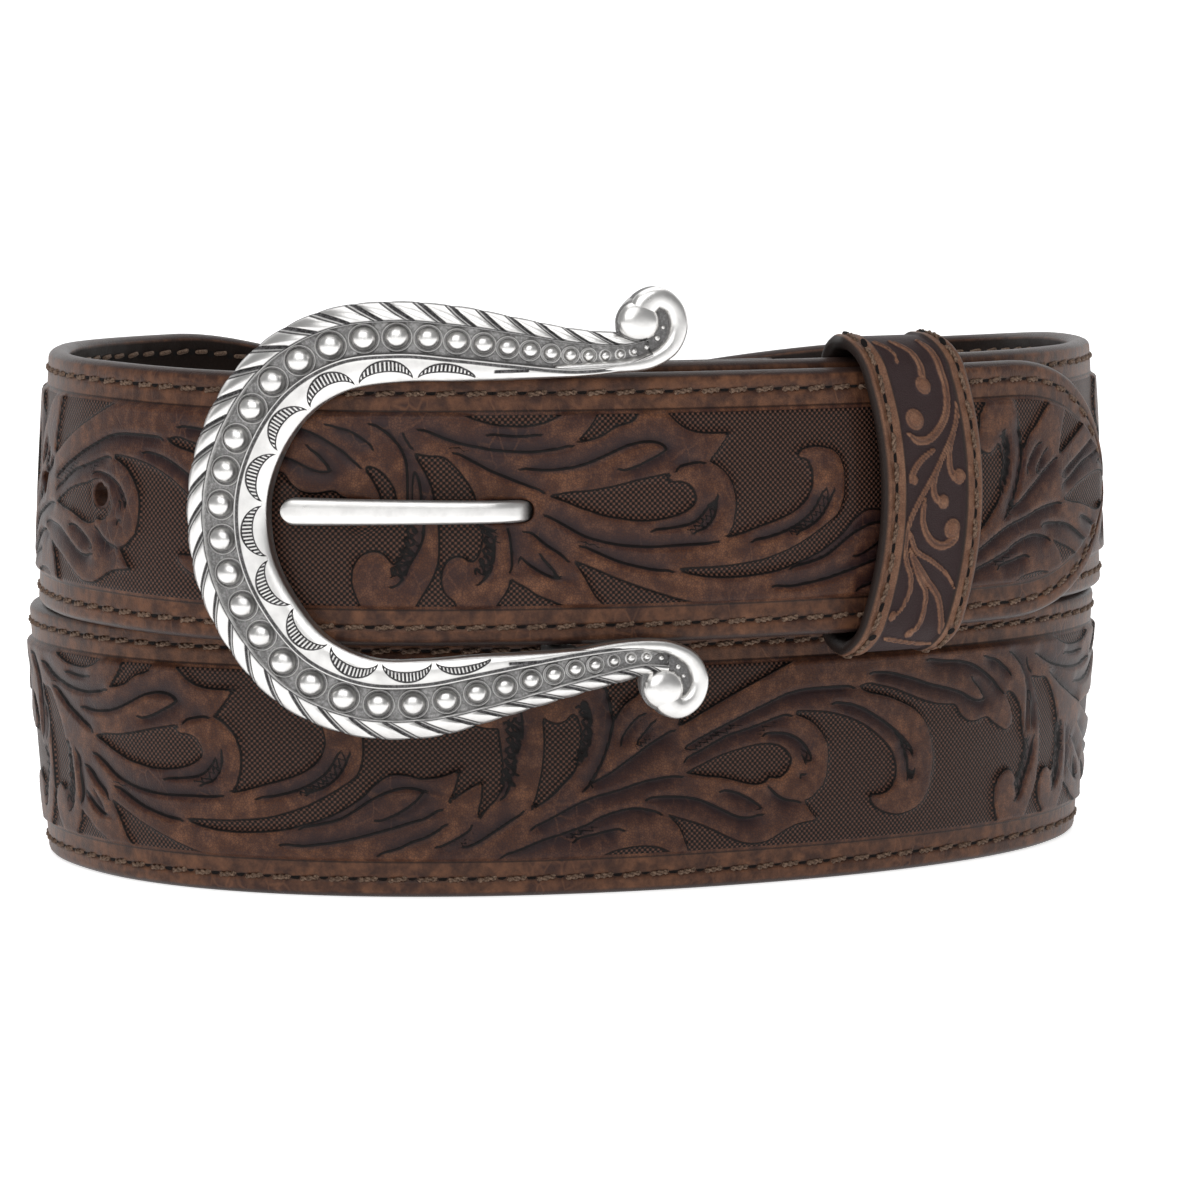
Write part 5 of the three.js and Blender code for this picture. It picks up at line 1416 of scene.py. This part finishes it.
def buildStitches():
    front, behind = stitchTemplate(), stitchTemplate(1, 6, 5)
    tip = tipRun()
    straight = np.arange(1.5, tip[:, 0].min(), 1.)
    inset = halfWidth - strapShape["seamIn"]
    rows = [np.stack([straight, np.full_like(straight, inset)], -1), tip,
            np.stack([straight, np.full_like(straight, -inset)], -1)]
    parts = []
    for row in rows:
        point, across, face = strandFrame(row[:, 0])
        on = point + across * row[:, 1:2]
        parts.append(stitchRow(on + face * (belt["border"] - strapShape["seamDepth"] + .02), face, front))
        parts.append(stitchRow(on - face * (belt["back"] + .02), -face, behind))
    return stitchMesh("strap_stitches", parts, "tooled_leather")


def stitchMesh(name, parts, slot):
    points, quads, hole, start = [], [], [], 0
    for p, q, h in parts:
        points.append(p)
        quads.append(q + start)
        hole.append(h)
        start += len(p)
    return makeMesh(name, np.concatenate(points), np.concatenate(quads), {"hole": np.concatenate(hole)}, threadTone, slot)


threadTone = threadFinish()
buildStitches()
print("strap stitched")


# Keeper loop

keeper = {
    "along": 53, "width": 18, "wall": 2.2, "corner": 4.8, "rear": -8.48, "front": fieldFace + 2.5,
    "low": 33.86, "high": 79.96, "bow": 4.6, "ends": -2.4, "bulge": 1.5,
    "stitchIn": 1.8, "rib": 3.5, "groundDepth": .42, "pitch": .30,
    "raised": (.150, .066, .036), "ground": (.030, .0140, .0150), "border": (.125, .055, .030),
    "worn": (.27, .142, .084), "edge": (.017, .010, .008),
}
# scrolls of the keeper as chart points, x across and y down in the keeper's own sheet, with the half width
# of each stem at its start and end; a ball closes a curl
keeperSheet = {"left": [(250, 40), (350, 85), (450, 125), (600, 165), (750, 190), (900, 205), (1100, 215), (1200, 210),
                        (1300, 185), (1400, 145), (1480, 100)],
               "right": [(210, 360), (330, 480), (450, 520), (600, 552), (750, 570), (900, 578), (1100, 580), (1200, 570),
                         (1300, 550), (1400, 480), (1440, 400)],
               "top": 235, "unitsPerMm": 26.6, "middle": 852}
keeperStems = [
    ([(270, 235), (340, 300), (385, 380), (410, 450), (412, 530), (392, 590), (350, 636), (305, 642), (268, 612)], 13, 13),
    ([(180, 240), (255, 295), (300, 355), (315, 410)], 9, 14),
    ([(120, 235), (185, 290), (215, 350)], 10, 4),
    ([(345, 235), (410, 330), (442, 420), (455, 510), (447, 600), (405, 700), (370, 780), (330, 860), (300, 940),
      (292, 1020), (308, 1100), (330, 1160), (330, 1220), (302, 1285), (272, 1312)], 8, 9),
    ([(372, 676), (325, 712), (298, 755), (286, 800)], 7, 12),
    ([(448, 600), (428, 680), (434, 755), (462, 806)], 8, 13),
    ([(400, 712), (375, 790), (378, 850), (405, 884)], 7, 13),
    ([(345, 860), (345, 950), (378, 1020), (425, 1048), (468, 1030), (482, 990)], 9, 15),
    ([(300, 985), (335, 1060), (400, 1105), (455, 1155), (492, 1215)], 9, 5),
    ([(318, 1070), (385, 1170), (432, 1245), (440, 1320), (415, 1400)], 9, 11),
    ([(310, 1050), (352, 1150), (388, 1225), (382, 1300), (345, 1360), (312, 1388)], 7, 10),
    ([(230, 1400), (300, 1440), (380, 1450)], 8, 5),
]
keeperBalls = [(290, 560, 36), (318, 432, 30), (470, 786, 26), (415, 880, 24), (458, 985, 34), (300, 790, 16),
               (316, 1384, 18), (270, 1308, 16)]


def keeperPlace(x, y):
    # chart units to mm across the loop and down its face
    left = np.interp(y, *np.array(keeperSheet["left"]).T)
    right = np.interp(y, *np.array(keeperSheet["right"]).T)
    return (np.asarray(x) - left) / (right - left) * keeper["width"] - keeper["width"] / 2, \
        (keeperSheet["middle"] - np.asarray(y)) / keeperSheet["unitsPerMm"]


def keeperRelief(u, v):
    # height of the scrolls above the keeper's ground, 0 to 1, with a fine vein along each stem
    height = np.zeros(u.shape)
    vein = np.zeros(u.shape)
    for points, first, last in keeperStems:
        run = smoothRun(np.stack(keeperPlace(*np.array(points, float).T), -1), False, .3)
        low, high = run.min(0) - 1.5, run.max(0) + 1.5
        near = (u > low[0]) & (u < high[0]) & (v > low[1]) & (v < high[1])
        d, _, share = runDistance(u[near], v[near], run)
        half = (first + (last - first) * share) / 20.5 * np.clip(np.minimum(share, 1 - share) * 8 + .35, 0, 1)
        shape = np.clip(1.15 - (d / np.maximum(half, .05)) ** 3, 0, 1)
        height[near] = np.maximum(height[near], shape)
        vein[near] = np.maximum(vein[near], np.exp(-(d / (half * .28 + .03)) ** 2) * (half > .3))
    for x, y, size in keeperBalls:
        cu, cv = keeperPlace(x, y)
        d = np.hypot(u - cu, v - cv) / (size / 22.5)
        shape = np.clip(1.2 - d ** 4, 0, 1)
        height = np.maximum(height, shape)
        vein = np.where(d < 1.05, np.exp(-((d - .72) / .12) ** 2) * .6, vein)
    return height, vein


def keeperLoop():
    # the loop's outer face as fine places out and up with their outward direction, from the rear's middle round
    r = keeper["corner"]
    ins = [(keeper["front"] - r, keeper["high"] - r, 0), (keeper["rear"] + r, keeper["high"] - r, 90),
           (keeper["rear"] + r, keeper["low"] + r, 180), (keeper["front"] - r, keeper["low"] + r, 270)]
    out, up = [], []
    for o, z, start in ins:
        turn = np.radians(start + np.linspace(0, 90, 24))
        out += list(o + r * np.cos(turn))
        up += list(z + r * np.sin(turn))
    out, up = np.array(out + out[:1]), np.array(up + up[:1])
    walked = np.concatenate([[0], np.cumsum(np.hypot(np.diff(out), np.diff(up)))])
    rows = int(walked[-1] / keeper["pitch"])
    even = np.linspace(0, walked[-1], rows, endpoint=False)
    out, up = np.interp(even, walked, out), np.interp(even, walked, up)
    turnOut = np.roll(up, -1) - np.roll(up, 1)
    turnUp = -(np.roll(out, -1) - np.roll(out, 1))
    size = np.hypot(turnOut, turnUp)
    middle = (keeper["low"] + keeper["high"]) / 2
    # v runs up the front face from its middle and on over the top
    v = (even - walked[-1] - (keeper["high"] - r - middle))
    v = np.where(v < -walked[-1] / 2, v + walked[-1], v)
    v = even + (keeper["high"] - r - middle)
    v = np.where(v > walked[-1] / 2, v - walked[-1], v)
    return out, up, turnOut / size, turnUp / size, v


def keeperBend(u, out, up):
    middle = (keeper["low"] + keeper["high"]) / 2
    share = np.clip((up - middle) / (keeper["high"] - middle), -1, 1)
    front = smoothstep(-6, 2, out)
    shift = (keeper["ends"] + keeper["bow"] * (1 - share ** 2)) * front
    return frontPoint(keeper["along"] + u + shift, out + keeper["bulge"] * (1 - share ** 2) * smoothstep(1, 3, out), up)


def keeperFinish():
    made = Finish("keeperLeather")
    raised, vein, edgeIn, flesh = (made.value(name) for name in ("raised", "vein", "edgeIn", "flesh"))
    patchy = made.noise(2.2, 4., .65)
    fine = made.noise(.3, 3., .6)
    grain = made.step(.16, .02, made.cells(.40))
    border = made.step(keeper["rib"] + .1, keeper["rib"] - .15, edgeIn)
    up = made.math("MAXIMUM", raised, border)
    ground = made.blend(fine * .6, keeper["ground"], (.012, .006, .006))
    tan = made.blend(made.step(.35, .75, patchy) * .7, keeper["raised"], keeper["worn"])
    tan = made.blend(vein * .75, tan, keeper["ground"])
    leatherTone = made.blend(made.step(.12, .6, raised), ground, tan)
    borderTone = made.blend(made.step(.35, .8, patchy) * .6, keeper["border"], keeper["worn"])
    seam = made.step(.5, .12, made.math("ABSOLUTE", edgeIn - keeper["stitchIn"]))
    borderTone = made.blend(seam * .55, borderTone, keeper["edge"])
    rib = made.step(.32, .08, made.math("ABSOLUTE", edgeIn - keeper["rib"]))
    leatherTone = made.blend(border, leatherTone, borderTone)
    leatherTone = made.blend(rib * .8, leatherTone, keeper["edge"])
    leatherTone = made.blend(grain * .3 * (1 - seam), leatherTone, keeper["edge"])
    leatherTone = made.blend(made.step(.75, .3, edgeIn), leatherTone, keeper["edge"])
    leatherTone = made.blend(flesh, leatherTone, keeper["edge"])
    height = up * .3 - vein * raised * .6 - grain * .14 + fine * .2 + patchy * .1
    made.set(Base_Color=leatherTone, Roughness=.56 + patchy * .16 - up * .06, Normal=made.bump(height, .16),
             Specular_IOR_Level=.26)
    return made.material


def buildKeeper():
    out, up, turnOut, turnUp, v = keeperLoop()
    halfKeeper, wall = keeper["width"] / 2, keeper["wall"]
    edgeTurn = np.radians(np.linspace(-90, 90, 9))
    faceU = np.arange(-halfKeeper + 1.1, halfKeeper - 1.09, .29)
    lead = [(-halfKeeper + 1.1 * (1 - math.cos(a)), -wall / 2 + wall / 2 * math.sin(a)) for a in edgeTurn]
    u = np.array([p[0] for p in lead] + list(faceU) + [-p[0] for p in lead[::-1]]
                 + list(np.linspace(halfKeeper - 1.1, -halfKeeper + 1.1, 12)[1:-1]))
    deep = np.array([p[1] for p in lead] + [0] * len(faceU) + [p[1] for p in lead[::-1]] + [-wall] * 10)
    onFace = np.array([0.] * 9 + [1.] * len(faceU) + [0.] * 9 + [0.] * 10)
    u2, v2 = np.meshgrid(u, v)
    raised, vein = keeperRelief(u2, v2)
    edgeIn = halfKeeper - np.abs(u2)
    field = smoothstep(keeper["rib"] - .1, keeper["rib"] + .35, edgeIn) * onFace
    raised = raised * field
    groove = np.exp(-((edgeIn - keeper["stitchIn"]) / .35) ** 2) * .2 * onFace
    lift = deep[None] - keeper["groundDepth"] * field * (1 - raised) - groove - vein * raised * .12 * onFace
    places = keeperBend(u2, out[:, None] + turnOut[:, None] * lift, up[:, None] + turnUp[:, None] * lift)
    values = {"raised": raised, "vein": vein * field, "edgeIn": np.where(onFace + (deep > -wall * .6) > .5, edgeIn, 0),
              "flesh": np.broadcast_to((deep < -wall * .9).astype(float), u2.shape)}
    body = makeMesh("keeper_leather", places.reshape(-1, 3), gridQuads(*u2.shape, True, True)[:, ::-1],
                    {key: np.asarray(value).reshape(-1) for key, value in values.items()}, keeperFinish(),
                    "keeper_leather")
    rows = []
    loop = np.append(np.arange(len(out)), 0)
    for sign in (-1, 1):
        rowU = np.full(len(loop), sign * (halfKeeper - keeper["stitchIn"]))
        on = keeperBend(rowU, (out - turnOut * .17)[loop], (up - turnUp * .17)[loop])
        above = keeperBend(rowU, (out + turnOut * 1.)[loop], (up + turnUp * 1.)[loop])
        rows.append(stitchRow(on, unit(above - on), stitchTemplate(), .1 * sign))
    return body, stitchMesh("keeper_stitches", rows, "keeper_leather")


keeperPieces = buildKeeper()
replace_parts(keeperPieces[0], "keeper_loop")
print("keeper built")


# Post behind the fold

post = {"along": 25, "radius": 2, "headRadius": 4.5, "headThick": 1, "sink": .2}


def buildPost():
    returnFace = -belt["lapStep"] - 2 * belt["back"] - belt["clearance"] - fieldFace
    headFront = returnFace - belt["clearance"]
    front = -belt["lapStep"] + fieldFace - post["sink"]
    profile = [(.02, headFront - post["headThick"]), (post["headRadius"] - .4, headFront - post["headThick"]),
               (post["headRadius"], headFront - post["headThick"] + .35), (post["headRadius"], headFront - .1),
               (post["headRadius"] - .1, headFront), (post["radius"], headFront), (post["radius"], front - .2),
               (post["radius"] - .2, front), (.02, front)]
    turn = np.linspace(0, 2 * np.pi, 32, endpoint=False)
    r, out = np.array(profile).T[:, :, None]
    grid = frontPoint(post["along"] + r * np.cos(turn), out + 0 * turn, upperHeight + halfWidth + r * np.sin(turn))
    values = {"tarnish": np.full(grid.shape[:2], .25)}
    return makeMesh("snap_post", grid.reshape(-1, 3), gridQuads(len(profile), 32, wrapColumns=True), values, plainSilver,
                    "plain_snap")


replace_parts(buildPost(), "fold_post")
print("post built")


# Floor, light and camera

def studio():
    ground = Finish("paleFloor")
    ground.set(Base_Color=(.8, .8, .8), Roughness=.7, Specular_IOR_Level=.2)
    ground.set(Emission_Color=(1, 1, 1), Emission_Strength=.72)
    # the floor turns up into a white wall far behind the belt
    sweep = [(-4, 0)] + [(3 + math.sin(a), 1 - math.cos(a)) for a in np.radians(np.arange(0, 91, 10))] + [(4, 4)]
    mesh = bpy.data.meshes.new("floor")
    mesh.from_pydata([(x, y, z) for y, z in sweep for x in (-6, 6)], [],
                     [(2 * k, 2 * k + 1, 2 * k + 3, 2 * k + 2) for k in range(len(sweep) - 1)])
    mesh.shade_smooth()
    mesh.materials.append(ground.material)
    floor = bpy.data.objects.new("floor", mesh)
    bpy.context.scene.collection.objects.link(floor)
    world = bpy.data.worlds.new("studio")
    bpy.context.scene.world = world
    world.use_nodes = True
    world.node_tree.nodes["Background"].inputs[0].default_value = (1, 1, 1, 1)
    world.node_tree.nodes["Background"].inputs[1].default_value = .32
    for name, place, aim, size, power in (
            ("key", (-.25, -1.15, 1.0), (0, 0, .05), 1.6, 13), ("top", (.0, .3, 1.1), (0, 0, .05), 1.1, 5)):
        light = bpy.data.lights.new(name, "AREA")
        light.size, light.energy = size, power
        lamp = bpy.data.objects.new(name, light)
        lamp.location = place
        lamp.rotation_euler = (Vector(aim) - Vector(place)).to_track_quat("-Z", "Y").to_euler()
        bpy.context.scene.collection.objects.link(lamp)
    camera = bpy.data.objects.new("camera", bpy.data.cameras.new("camera"))
    camera.location = (4.26 * mm, -845.8 * mm, 114 * mm)
    camera.rotation_euler = (math.radians(90 - 5.2), 0, 0)
    camera.data.lens = 166.35
    camera.data.sensor_width = 36
    camera.data.clip_start = .01
    bpy.context.scene.collection.objects.link(camera)
    bpy.context.scene.camera = camera
    bpy.context.scene.view_settings.view_transform = "Standard"


studio()
